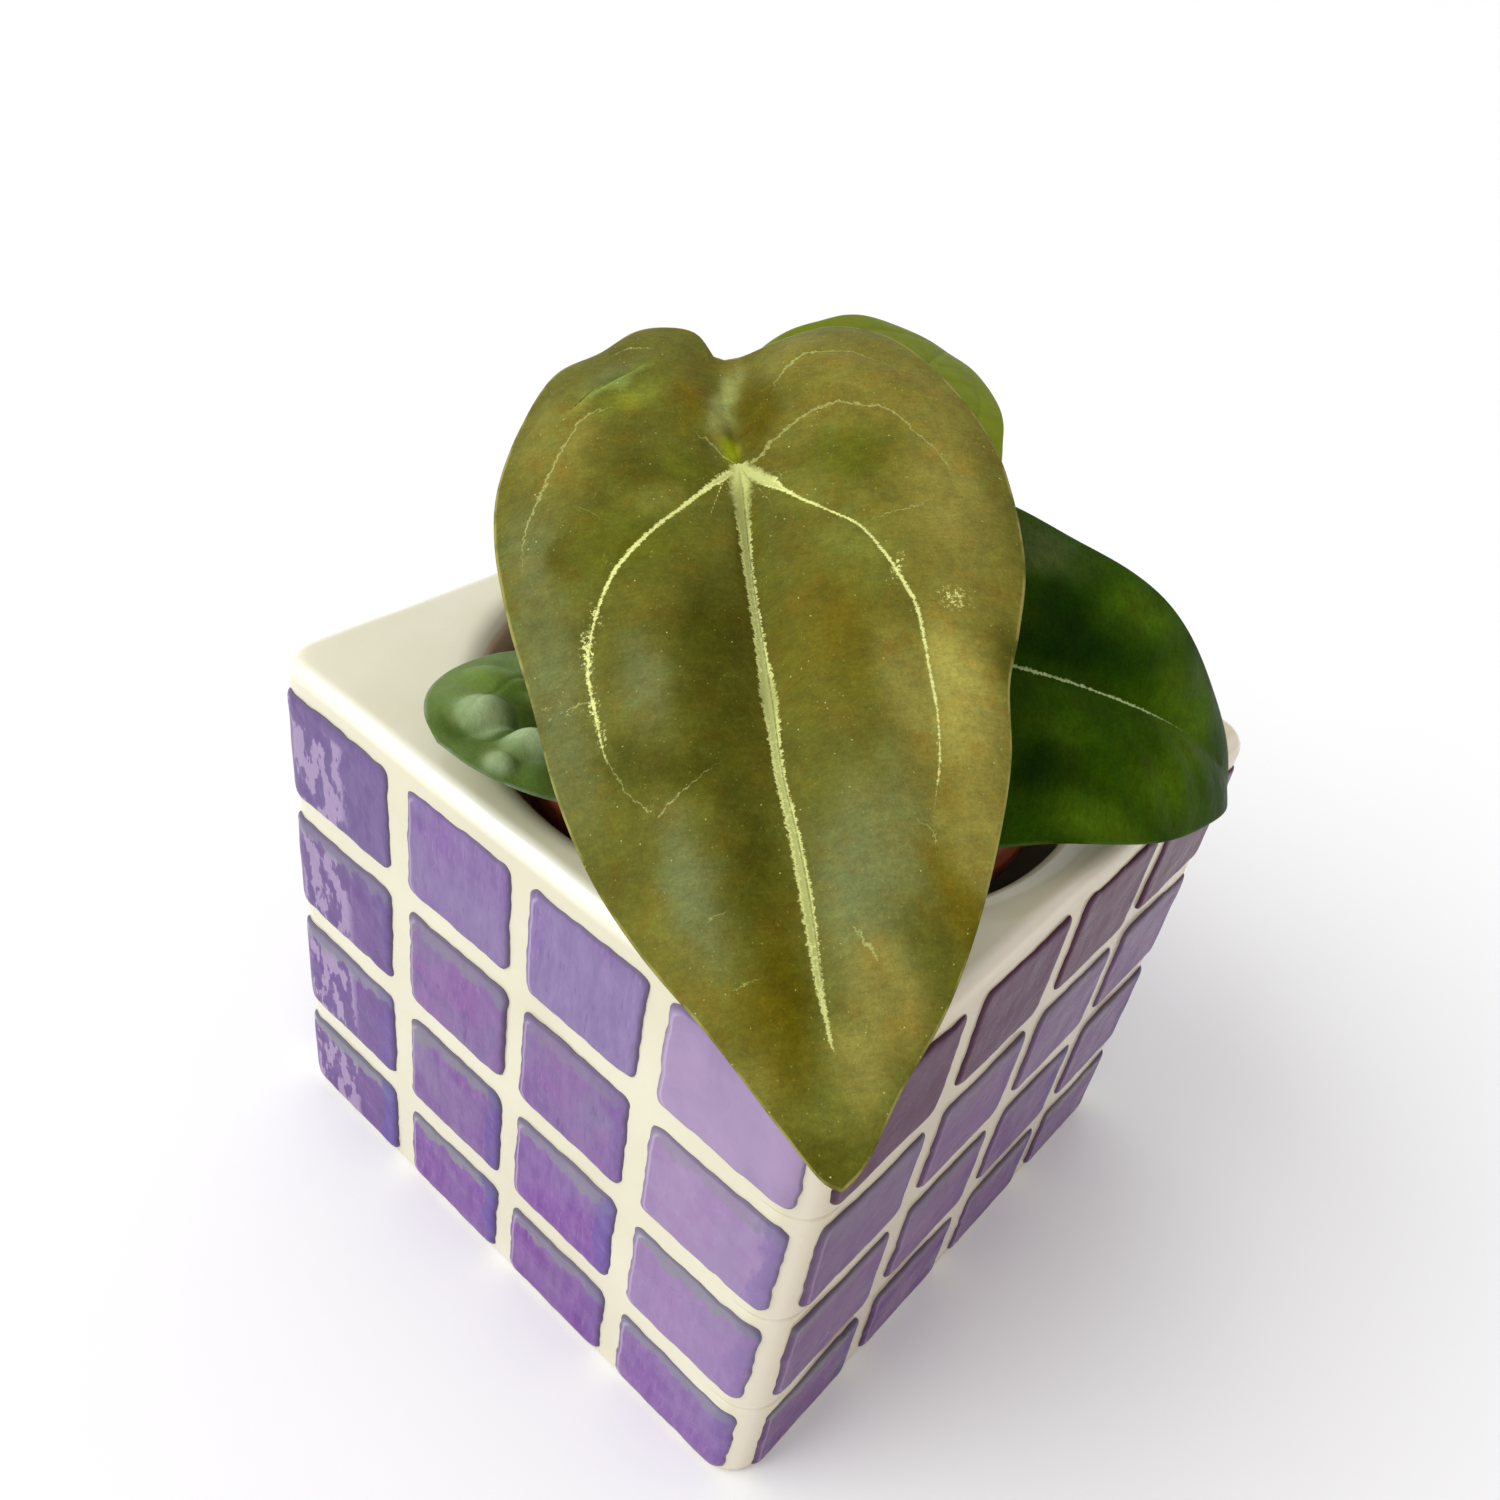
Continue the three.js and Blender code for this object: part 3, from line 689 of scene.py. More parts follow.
bark = scatter("potting_mix_bark", [chip(f"chip_{i}", 2.6, 50 + i) for i in range(5)], BARK_COUNT, 61,
               (1.25, 0.8, 0.5), 9.0, -0.2)
bark.data.materials.append(mix_material("bark", (0.06, 0.028, 0.013), (0.17, 0.085, 0.04), 420, 0.85))
perlite = scatter("potting_mix_perlite", [chip(f"grain_{i}", 1.3, 70 + i) for i in range(4)], PERLITE_COUNT, 62,
                  (1.0, 0.9, 0.8), 7.5, -0.35)
perlite.data.materials.append(mix_material("perlite", (0.55, 0.52, 0.46), (0.8, 0.78, 0.72), 900, 0.9))
for piece in (soil, bark, perlite):
    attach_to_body(piece, "root")
    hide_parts("potting_mix")

# Stem: a short upright stem with rings where old leaves fell, wrapped in the dry papery sheaths that covered
# each new leaf. Roots leave it just above the mix and turn down into it.
STEM_TOP = 70.3
STEM_RINGS = (
    (2.6, 56.0), (4.2, 58.0), (4.5, 62.0), (4.6, 64.6), (4.15, 65.4), (4.05, 66.2), (4.45, 66.8), (4.1, 67.3),
    (4.2, 68.2), (4.5, 68.9), (4.35, 69.7), (3.9, 70.2), (3.2, 70.45), (1.4, 70.5),
)
SHEATHS = ((35, 2.6, 10.5, 0.16), (133, 2.9, 9.6, 0.22), (298, 2.4, 10.8, 0.12), (232, 2.7, 7.4, 0.3))
SHEATH_FOOT = 64.6
SHEATH_REACH = 4.85
SHEATH_THICKNESS = 0.16
ROOTS = ((70, 7.5), (160, 8.5), (262, 7.0), (330, 8.0))


def plant_material(name, dark, light, scale, rough, stretch=(1, 1, 1), depth=0.0003, **constants):
    material, tree = new_material(name)
    place = own_place(tree)
    streaks = noise(tree, place, scale, 4, 0.6, stretch)
    spots = noise(tree, place, scale * 3, 2)
    colour = mix(tree, between(tree, streaks, 0.35, 0.65), dark, light)
    colour = mix(tree, between(tree, spots, 0.62, 0.72, 0, 0.4), colour, [c * 0.55 for c in dark])
    return finish(material, colour, rough, bumps(tree, [(streaks, 0.4, depth)]), **constants)


stem = drawn_up("stem_core", STEM_RINGS, 40)
bpy.ops.object.shade_smooth_by_angle(angle=math.radians(50))
move = points_of(stem)
move[:, :2] *= 1 + 0.05 * ripple(move / MM, 5, 41)[:, None]
move_points(stem, move)
stem.data.materials.append(plant_material("stem_skin", (0.10, 0.085, 0.03), (0.22, 0.19, 0.08), 350, 0.6))


def sheath(name, angle, width, height, spread):
    """A pointed scale that wraps part of the stem, leans out at its tip and is thin as paper."""
    rows, columns = 22, 17

    def place(row, column):
        up, side = row / (rows - 1), 2 * column / (columns - 1) - 1
        half = width * (1 - up ** 2.2) ** 0.8 * (0.85 + 0.15 * np.sin(3 * up)) + 0.05
        bend = side * half / 5.0
        reach = SHEATH_REACH + spread * height * up ** 2 - 0.4 * side ** 2 * up + 0.12 * np.sin(9 * side + 5 * up)
        x, y = turned(reach * np.sin(bend), -reach * np.cos(bend), math.radians(angle))
        return np.column_stack([x, y, SHEATH_FOOT + height * up * (1 - 0.08 * side ** 2)])

    made = wrapped_grid(name, rows, columns, place)
    face_outwards()
    bpy.ops.object.modifier_add(type="SOLIDIFY")
    made.modifiers[-1].thickness = SHEATH_THICKNESS * MM
    made.modifiers[-1].offset = 0
    bpy.ops.object.modifier_apply(modifier=made.modifiers[-1].name)
    bpy.ops.object.shade_smooth_by_angle(angle=math.radians(40))
    return made


def tube(name, path, sides):
    """A round stalk along a smooth path; each point of it is x, y, z and radius, in mm."""
    deselect()
    bpy.ops.curve.primitive_nurbs_path_add()
    curve = bpy.context.object
    curve.name = curve.data.name = name
    curve.data.splines.clear()
    spline = curve.data.splines.new("NURBS")
    spline.points.add(len(path) - 1)
    for point, (x, y, z, radius) in zip(spline.points, path):
        point.co = (x * MM, y * MM, z * MM, 1)
        point.radius = radius
    spline.use_endpoint_u = True
    spline.order_u = 4
    spline.resolution_u = 4
    curve.data.bevel_depth = MM
    curve.data.bevel_resolution = sides // 4
    curve.data.use_fill_caps = True
    bpy.ops.object.convert(target="MESH")
    bpy.ops.object.shade_smooth_by_angle(angle=math.radians(50))
    return bpy.context.object


sheaths = join([sheath(f"sheath_{i}", *each) for i, each in enumerate(SHEATHS)], "stem_sheaths")
sheaths.data.materials.append(
    plant_material("dry_sheath", (0.20, 0.115, 0.05), (0.42, 0.29, 0.16), 600, 0.7, (1, 1, 0.12), 0.0002)
)
root_pieces = []
for i, (angle, reach) in enumerate(ROOTS):
    across, deep = math.cos(math.radians(angle)), math.sin(math.radians(angle))
    path = [(3.6, 67.4, 0.7), (5.2, 67.5, 0.68), (reach - 0.8, 66.9, 0.6), (reach + 0.3, 65.2, 0.5)]
    path.append((reach + 0.6, 63, 0.4))
    root_pieces.append(tube(f"root_{i}", [(r * across, r * deep, z, size) for r, z, size in path], 12))
roots = join(root_pieces, "stem_roots")
roots.data.materials.append(plant_material("root_skin", (0.24, 0.19, 0.10), (0.42, 0.36, 0.22), 500, 0.7))
for piece in (stem, sheaths, roots):
    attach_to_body(piece, "root")
    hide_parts("stem")

# Blades and petioles: each leaf is a peltate heart-shaped blade, leathery and about half a millimetre thick,
# on a slender petiole that thickens to a joint where it enters the blade from below.
REFERENCE_LENGTH = 78.5
HALF_THICKNESS = 0.2
DROOP_REACH = 60
VEIN_POINTS = 60
GROOVE_DEPTH = 0.22
FINE_GROOVE_DEPTH = 0.09
MIDRIB_HEIGHT = 0.7
LATERAL_HEIGHT = 0.25
FINE_HEIGHT = 0.1
MARGIN_ROUNDING = 0.12
TINT_WANDER = 0.45
PETIOLE_RADIUS = 1.12
PETIOLE_TAPER = 0.12
PETIOLE_JOINT = 0.38
PETIOLE_FOOT = 0.5
COMMON_HALF = (
    (0, 16.8), (3, 20.5), (7, 22.3), (11, 22.2), (16, 19.2), (20.5, 16.4), (24.4, 9.1), (27.8, 0), (28.3, -7),
    (27.3, -18.5), (24.4, -30), (22, -40), (19.4, -48), (15.6, -56), (10.7, -64), (4.6, -73), (0, -78.5),
)


def smooth_path(points, steps=40):
    """A path through all the points, evenly smooth where they are unevenly spaced."""
    points = np.array(points, float)
    padded = np.vstack([2 * points[0] - points[1], points, 2 * points[-1] - points[-2]])
    share = np.linspace(0, 1, steps, endpoint=False)[:, None]
    path = []
    for before, start, end, after in zip(padded, padded[1:], padded[2:], padded[3:]):
        gaps = [max(np.linalg.norm(b - a) ** 0.5, 1e-4) for a, b in ((before, start), (start, end), (end, after))]
        leave = (start - before) / gaps[0] - (end - before) / (gaps[0] + gaps[1]) + (end - start) / gaps[1]
        arrive = (end - start) / gaps[1] - (after - start) / (gaps[1] + gaps[2]) + (after - end) / gaps[2]
        leave, arrive = leave * gaps[1], arrive * gaps[1]
        path.append(
            start * (2 * share ** 3 - 3 * share ** 2 + 1) + leave * (share ** 3 - 2 * share ** 2 + share)
            + end * (3 * share ** 2 - 2 * share ** 3) + arrive * (share ** 3 - share ** 2)
        )
    return np.vstack([*path, points[-1:]])


def even_path(points, count):
    path = smooth_path(points)
    way = np.concatenate([[0], np.cumsum(np.linalg.norm(np.diff(path, axis=0), axis=1))])
    even = np.linspace(0, way[-1], count)
    return np.column_stack([np.interp(even, way, path[:, i]) for i in range(path.shape[1])])


def leaf_axes(leaf):
    azimuth, elevation = math.radians(leaf["azimuth"]), math.radians(leaf["elevation"])
    level_share = math.cos(elevation)
    along = Vector((math.cos(azimuth) * level_share, math.sin(azimuth) * level_share, math.sin(elevation)))
    level = along.cross(Vector((0, 0, 1))).normalized()
    across = Matrix.Rotation(-math.radians(leaf["roll"]), 3, along) @ level
    return np.array(along), np.array(across), np.array(across.cross(along))


def leaf_outline(leaf, sectors):
    """Points of the margin from the tip up the left half, past the notch and down the right half."""
    stretch = leaf["length"] / REFERENCE_LENGTH
    halves = []
    for points, sign in ((leaf["left"], 1), (leaf["right"], -1)):
        halves.append(even_path(points, sectors // 2 + 1) * (sign * leaf["width"], stretch))
    left, right = halves[0][::-1], halves[1]
    notch = (left[-1] + right[0]) / 2
    return np.vstack([left[:-1], notch, right[1:]])


def in_space(leaf, x, y, height):
    """Where a point of the flat blade is once it is bent: the bend grows towards the tip."""
    along, across, normal = leaf_axes(leaf)
    way, steps = -y, 12
    ahead, down = np.zeros(len(x)), np.zeros(len(x))
    for step in range(steps):
        angle = leaf["droop"] * (np.maximum(0, way * (step + 0.5) / steps) / DROOP_REACH) ** 2
        ahead += np.cos(angle) * way / steps
        down += np.sin(angle) * way / steps
    angle = leaf["droop"] * (np.maximum(0, way) / DROOP_REACH) ** 2
    up = np.outer(np.cos(angle), normal) + np.outer(np.sin(angle), along)
    return (np.array(leaf["attach"]) + np.outer(ahead, along) - np.outer(down, normal)
            + np.outer(x, across) + up * height[:, None])


def vein_distance(points, veins):
    """For each point, the signed distance to the nearest of the veins and that vein's half width there."""
    nearest = np.full(len(points), 1e3)
    signed, width = np.full(len(points), 1e3), np.zeros(len(points))
    for path, widths in veins:
        line = even_path(path, VEIN_POINTS)
        sizes = np.interp(np.linspace(0, 1, VEIN_POINTS), np.linspace(0, 1, len(widths)), widths)
        start, step = line[:-1], np.diff(line, axis=0)
        offset = points[:, None, :] - start[None]
        share = np.clip((offset * step).sum(2) / (step ** 2).sum(1), 0, 1)
        away = np.linalg.norm(offset - share[:, :, None] * step[None], axis=2)
        part = away.argmin(axis=1)
        rows = np.arange(len(points))
        distance = away[rows, part]
        side = np.sign(step[part, 0] * offset[rows, part, 1] - step[part, 1] * offset[rows, part, 0])
        part_share = share[rows, part]
        beyond = ((part == 0) & (part_share == 0)) | ((part == len(step) - 1) & (part_share == 1))
        size = (sizes[part] + (sizes[part + 1] - sizes[part]) * part_share) * ~beyond
        closer = (distance - 0.9 * size) < nearest
        nearest[closer] = (distance - 0.9 * size)[closer]
        signed[closer] = (distance * side)[closer]
        width[closer] = size[closer]
    width[np.abs(signed) > 2.2 * width + 0.9] = 0
    return signed, width


def smooth_step(low, high, value):
    share = np.clip((value - low) / (high - low), 0, 1)
    return share * share * (3 - 2 * share)


def from_oval(plan, x, y, wide, long, turn):
    """How far each point is from an oval's middle, squared: 1 on the oval, which is turned by so many degrees."""
    across, along = turned(plan[:, 0] - x, plan[:, 1] - y, -math.radians(turn))
    return (across / wide) ** 2 + (along / long) ** 2


def swelling(plan, swells):
    """Rounded rises and hollows, each an oval and a height."""
    total = np.zeros(len(plan))
    for *oval, rise in swells:
        total += rise * np.exp(-from_oval(plan, *oval))
    return total


def blade(name, leaf):
    sectors, rings = leaf["sectors"], leaf["rings"]
    outline = leaf_outline(leaf, sectors)
    shares = (np.arange(rings) / (rings - 1)) ** 0.9
    share_rows = np.concatenate([shares, [1.0], shares[::-1]])
    under_rows = np.concatenate([np.zeros(rings), [0.5], np.ones(rings)])
    values = {}

    def place(row, column):
        share, under = share_rows[row], under_rows[row]
        edge = outline[column]
        x, y = edge[:, 0] * share, edge[:, 1] * share
        plan = np.column_stack([x, y])
        side = 1 - np.exp(-((edge[:, 0] / (8 * leaf["width"])) ** 2))
        turn = column / sectors
        size = leaf["width"]
        dome = 4 * leaf["dome"] * share * (1 - share) * side * smooth_step(-1.5, 5 * size, np.hypot(x, y))
        height = leaf["fold"] * np.abs(x) - leaf["arch"] * x ** 2 + dome
        height += leaf["wave"] * share ** 3 * np.sin(2 * math.pi * leaf["waves"] * turn + 1) * side
        main, main_width = vein_distance(plan, leaf["main_veins"])
        fine, fine_width = vein_distance(plan, leaf["fine_veins"])
        height += leaf["relief"](plan, share, main, fine, leaf)
        groove = GROOVE_DEPTH * np.exp(-((main / (0.8 * size)) ** 2)) * (main_width > 0)
        groove += FINE_GROOVE_DEPTH * np.exp(-((fine / (0.5 * size)) ** 2)) * (fine_width > 0)
        rib = MIDRIB_HEIGHT * np.exp(-((x / 0.8) ** 2)) * smooth_step(-leaf["length"], -0.4 * leaf["length"], y)
        rib *= smooth_step(12 * size, 4 * size, y)
        rib += LATERAL_HEIGHT * np.exp(-((main / 0.5) ** 2)) * (main_width > 0)
        rib += FINE_HEIGHT * np.exp(-((fine / 0.4) ** 2))
        inland = 1 - share ** 6
        groove *= smooth_step(0.4, 3.5, np.hypot(x, y))
        half = HALF_THICKNESS * (0.45 + 0.55 * inland)
        offset = np.where(under < 0.5, half - groove * inland, -half - rib * inland)
        offset[under == 0.5] = 0
        rim = np.where(under == 0.5, MARGIN_ROUNDING / np.linalg.norm(edge, axis=1), 0)
        points = in_space(leaf, x * (1 + rim), y * (1 + rim), height + offset)
        margin = (1 - share) * np.linalg.norm(edge, axis=1)
        values["plan"] = np.column_stack([x, y, margin])
        values["veins"] = np.column_stack([main, main_width, under])
        values["fine"] = np.column_stack([fine, fine_width, share])
        crease, crease_width = vein_distance(plan, leaf.get("creases", ()))
        values["crease"] = np.column_stack([crease, crease_width, swelling(plan, leaf.get("crystals", ()))])
        values["tint"] = leaf["tints"](plan)
        return points

    made = wrapped_grid(name, 2 * rings + 1, sectors + 1, place)
    keep_values(made, values)
    close_seams()
    return made


def tinted(base, tints, marks):
    """Colours a blade: each mark is a named tint, its oval and its share; its edges wander a little."""
    def colours(plan):
        colour = np.tile(np.array(base, float), (len(plan), 1))
        wander = plan + TINT_WANDER * np.column_stack([ripple(plan, 6, 87), ripple(plan, 6, 88)])
        for tint, *oval, share in marks:
            cover = share * np.exp(-(from_oval(wander, *oval) ** 1.5))[:, None]
            colour = colour * (1 - cover) + np.array(tints[tint]) * cover
        return colour
    return colours


def strip(tree, distance, width, fray, least, most, soft):
    """1 inside a ragged strip along a vein, 0 outside it."""
    reach = times(tree, width, between(tree, fray, 0.32, 0.68, least, most))
    gap = minus(tree, reach, distance)
    return between(tree, gap, 0.0, soft)


def cells(tree, place, scale, feature="F1"):
    return put(tree, "TexVoronoi", {"Vector": place, "Scale": scale}, feature=feature)


def grey(value):
    return (value, value, value)


def leaf_skin(name, vein, spark, below, margin_colour, vein_share, fine_share, net_share, speckle, mottle, rough,
              gloss):
    """The skin of a blade: mottled, with ragged crystalline veins that glint, fine specks and a pale underside."""
    material, tree = new_material(name)
    across, down, margin = parts_of(tree, attribute(tree, "plan"))
    plan = put(tree, "CombineXYZ", {"X": across, "Y": down}).outputs[0]
    main, main_width, under = parts_of(tree, attribute(tree, "veins"))
    fine, fine_width = parts_of(tree, attribute(tree, "fine"))[:2]
    colour = attribute(tree, "tint")
    clouds, blots = noise(tree, plan, 0.20, 3, 0.55), noise(tree, plan, 0.7, 4, 0.6, shift=7)
    grain, dust = noise(tree, plan, 2.6, 4, 0.7, shift=3), noise(tree, plan, 9.0, 2)
    streaks = noise(tree, plan, 1.5, 4, 0.65, stretch=(0.5, 1.9, 1), shift=31)
    for value, low, high in (
        (clouds, 0.80, 1.18), (blots, 0.86, 1.14), (grain, 0.82, 1.20), (dust, 0.86, 1.14), (streaks, 0.88, 1.13),
    ):
        tone = mix(tree, between(tree, value, 0.3, 0.7), grey(low), grey(high))
        colour = mix(tree, mottle, colour, tone, "MULTIPLY")
    bronze = between(tree, noise(tree, plan, 0.30, 4, 0.65, shift=11), 0.5, 0.66, 0, mottle)
    colour = mix(tree, bronze, colour, (1.10, 0.91, 0.75), "MULTIPLY")
    cool = between(tree, noise(tree, plan, 0.36, 4, 0.65, shift=19), 0.52, 0.68, 0, mottle)
    colour = mix(tree, cool, colour, (0.90, 1.03, 1.2), "MULTIPLY")
    net = cells(tree, plan, 0.42, "DISTANCE_TO_EDGE").outputs["Distance"]
    net_line = times(tree, between(tree, net, 0.0, 0.05, net_share, 0), between(tree, blots, 0.4, 0.6))
    colour = mix(tree, net_line, colour, vein)
    away = unsigned(tree, main)
    astray = between(tree, noise(tree, plan, 0.9, 3, 0.6, shift=13), 0.2, 0.8, -0.45, 0.45)
    fine_away = unsigned(tree, plus(tree, fine, astray))
    fray = noise(tree, plan, 1.5, 5, 0.78, stretch=(0.85, 1.25, 1))
    flecks = noise(tree, plan, 4.2, 3, 0.7, shift=5)
    ragged = between(tree, fray, 0.32, 0.68, -0.34, 0.34)
    ragged = times(tree, ragged, between(tree, main_width, 0.1, 0.6, 0.5, 1))
    reach = plus(tree, times(tree, main_width, 0.82), ragged)
    inside = minus(tree, reach, away)
    there = between(tree, main_width, 0.03, 0.08)
    soft = between(tree, main_width, 0.75, 1.6, 0.12, 0.9)
    feathered = plus(tree, inside, times(tree, minus(tree, flecks, 0.5), soft))
    core = times(tree, between(tree, feathered, 0.0, soft), there)
    fringe = times(tree, between(tree, inside, -0.04, 0.06), between(tree, inside, 0.42, 0.2))
    slender = between(tree, main_width, 0.85, 1.2, 1, 0)
    fringe = times(tree, fringe, times(tree, there, slender))
    slim = times(tree, core, between(tree, main_width, 0.5, 0.38))
    top_of_leaf = times(tree, core, between(tree, down, -20, -2, 0, 0.35))
    lit = greater(tree, greater(tree, fringe, slim), top_of_leaf)
    lit = times(tree, lit, between(tree, flecks, 0.34, 0.5, 0.25, 1))
    crease, crease_width, crystals = parts_of(tree, attribute(tree, "crease"))
    flakes = noise(tree, plan, 2.4, 4, 0.8, shift=23)
    over = plus(tree, flakes, times(tree, crystals, 0.2))
    tufts = times(tree, between(tree, over, 0.66, 0.70), between(tree, crystals, 0.1, 0.75))
    thread = strip(tree, fine_away, fine_width, fray, 0.3, 1.4, 0.10)
    thread = times(tree, thread, between(tree, flecks, 0.38, 0.56, 0.25, 1))
    colour = mix(tree, times(tree, thread, fine_share), colour, vein)
    faded = between(tree, down, -66, -38, 0.6, vein_share)
    colour = mix(tree, times(tree, core, faded), colour, vein)
    # Painted shadow: a dark line along each crease, where the folded blade shades itself.
    painted_crease_shadow = strip(tree, unsigned(tree, crease), crease_width, fray, 0.4, 1.3, 0.12)
    colour = mix(tree, times(tree, painted_crease_shadow, 0.8), colour, grey(0.35), "MULTIPLY")
    bright = greater(tree, times(tree, lit, between(tree, down, -60, -30, 0.55, 1)), tufts)
    colour = mix(tree, times(tree, bright, vein_share), colour, spark)
    groove_place = unsigned(tree, plus(tree, main, 0.3))
    groove = times(tree, between(tree, groove_place, 0.03, 0.13, 0.7, 0), between(tree, grain, 0.35, 0.5))
    groove = times(tree, groove, between(tree, unsigned(tree, across), 1.1, 1.5, 1, 0))
    groove = times(tree, groove, between(tree, main_width, 0.42, 0.5))
    groove = times(tree, groove, between(tree, down, -3.4, -2.0, 1, 0))
    colour = mix(tree, groove, colour, [c * 0.3 for c in vein])
    dots = cells(tree, plan, 1.1)
    chosen = between(tree, parts_of(tree, dots.outputs["Color"])[0], 0.5, 1.0, 0, speckle)
    ragged_dot = plus(tree, dots.outputs["Distance"], between(tree, dust, 0.3, 0.7, -0.05, 0.05))
    dot = times(tree, between(tree, ragged_dot, 0.04, 0.10, 1, 0), chosen)
    colour = mix(tree, dot, colour, spark)
    specks = cells(tree, plan, 2.3)
    few = between(tree, parts_of(tree, specks.outputs["Color"])[0], 0.7, 1.0, 0, speckle)
    speck = times(tree, between(tree, specks.outputs["Distance"], 0.08, 0.20, 0.6, 0), few)
    colour = mix(tree, speck, colour, vein)
    edge = times(tree, between(tree, margin, 0.1, 0.3, 0.7, 0), between(tree, clouds, 0.4, 0.56))
    colour = mix(tree, edge, colour, margin_colour)
    back = mix(tree, between(tree, grain, 0.3, 0.7), below, [c * 0.8 for c in below])
    rib = between(tree, minus(tree, main_width, away), 0.0, 0.3, 0, 0.5)
    back = mix(tree, rib, back, [min(1, c * 1.5) for c in below])
    colour = mix(tree, between(tree, under, 0.4, 0.6), colour, back)
    roughness = between(tree, blots, 0.3, 0.7, rough - 0.06, rough + 0.06)
    roughness = plus(tree, roughness, times(tree, core, 0.15))
    grit = cells(tree, plan, 5.0).outputs["Distance"]
    normal = bumps(tree, [
        (between(tree, net, 0.0, 0.3), 0.1, 0.0002), (blots, 0.2, 0.0007), (grain, 0.25, 0.00022),
        (grit, 0.12, 0.00008), (core, 0.3, 0.00015),
    ])
    return finish(material, colour, roughness, normal, Specular_IOR_Level=gloss)


def petiole(leaf):
    """The leaf's stalk, from its foot on the stem to the underside of its blade."""
    along, across, normal = leaf_axes(leaf)
    attach = np.array(leaf["attach"], float)
    foot = np.array([*leaf["foot"], STEM_TOP - 0.4])
    end = attach - normal * 1.1
    outwards = np.array([*leaf["foot"], 0]) / np.hypot(*leaf["foot"]) * leaf["rise"] * 0.25
    rise = foot + outwards + (0, 0, leaf["rise"])
    lean = attach - normal * (1.5 + leaf["lean"])
    path = []
    for t in np.linspace(0, 1, 19):
        point = foot * (1 - t) ** 3 + rise * 3 * t * (1 - t) ** 2 + lean * 3 * t ** 2 * (1 - t) + end * t ** 3
        joint = smooth_step(0.84, 0.93, t) * (1 - 0.35 * smooth_step(0.96, 1, t))
        base = 1 - smooth_step(0, 0.16, t)
        radius = PETIOLE_RADIUS + PETIOLE_TAPER * (1 - t) + PETIOLE_JOINT * joint + PETIOLE_FOOT * base
        path.append((*point, radius))
    path.append((*(attach - normal * 0.25), 1.0))
    return tube("petiole_" + leaf["name"] + "_stalk", path, 24)


def petiole_skin():
    material, tree = new_material("petiole_skin")
    place = own_place(tree)
    height = parts_of(tree, place)[2]
    streaks = noise(tree, place, 420, 4, 0.6, (1, 1, 0.15))
    flecks = noise(tree, place, 1500, 2)
    colour = mix(tree, between(tree, height, 0.070, 0.096), (0.15, 0.10, 0.045), (0.16, 0.19, 0.055))
    colour = mix(tree, between(tree, streaks, 0.4, 0.65, 0, 0.6), colour, (0.21, 0.22, 0.08))
    colour = mix(tree, between(tree, flecks, 0.62, 0.7, 0, 0.35), colour, (0.33, 0.31, 0.16))
    normal = bumps(tree, [(streaks, 0.3, 0.0003), (flecks, 0.15, 0.0001)])
    return finish(material, colour, between(tree, streaks, 0.3, 0.7, 0.36, 0.5), normal, Sheen_Weight=0.05)


stalk_skin = petiole_skin()


def fit_leaf(leaf, slot, skin):
    made = blade("blade_" + leaf["name"], leaf)
    made.data.materials.append(skin)
    stalk = petiole(leaf)
    stalk.data.materials.append(stalk_skin)
    for piece, node, finish_slot in (
        (made, "leaf_" + leaf["name"], slot), (stalk, "petiole_" + leaf["name"], "petiole"),
    ):
        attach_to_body(piece, "root")
        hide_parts(node)


# Front leaf: the largest and oldest blade, olive and bronzed, with a groove along its midrib, a fold in its
# upper left lobe and pale crystalline veins that fray at their edges. x is to the left of the midrib.
FRONT_LEFT = (
    (0.9, 16.8), (3.1, 21.9), (6.4, 23.1), (9.9, 22.6), (14.4, 19.1), (19.5, 16.4), (23.9, 9.1), (26.9, 0.3),
    (27.4, -7), (26.1, -18.4), (24, -28.8), (22, -39.6), (19.2, -48.3), (15.4, -55.8), (9.8, -64.3), (4.4, -73.2),
    (1.3, -77.8), (0, -78.5),
)
FRONT_RIGHT = (
    (0.9, 16.8), (2.6, 17.4), (7.4, 19.9), (13.2, 21.3), (19.3, 18.5), (24.1, 11.7), (28.5, 0.4), (29.3, -7.2),
    (28.6, -17.1), (26, -25.7), (23.6, -32.1), (22, -40.3), (19.9, -46.8), (15.6, -56.9), (11.2, -64.6),
    (6.5, -70.5), (1.9, -77), (0, -78.5),
)
MIDRIB = (
    (0.1, 0.2), (0.3, -2.5), (0.7, -14.1), (0.6, -25.5), (0.5, -31.5), (0.5, -39.3), (0, -45.7), (-0.3, -50.8),
    (-0.4, -55.8), (-0.4, -60.9), (-0.8, -66.8),
)
LATERAL_LEFT = (
    (0.3, -0.6), (3.1, -3.1), (6.1, -6.4), (10.1, -10.3), (12.9, -13.3), (15, -16.2), (16.7, -20.3), (17.7, -23.7),
    (18.1, -26.9), (18, -29.4), (17.6, -32.7), (17.2, -36), (16.9, -37.4),
)
LATERAL_RIGHT = (
    (0, 0), (-3.3, -4.4), (-5.6, -7.2), (-8.5, -9.9), (-11.3, -12.4), (-12.9, -15.6), (-14.4, -19.6), (-15.4, -22.8),
    (-15.5, -27.7), (-15.4, -32.2), (-15.3, -36.6), (-14.7, -40.8), (-13.6, -44.8), (-12.8, -47.7),
)
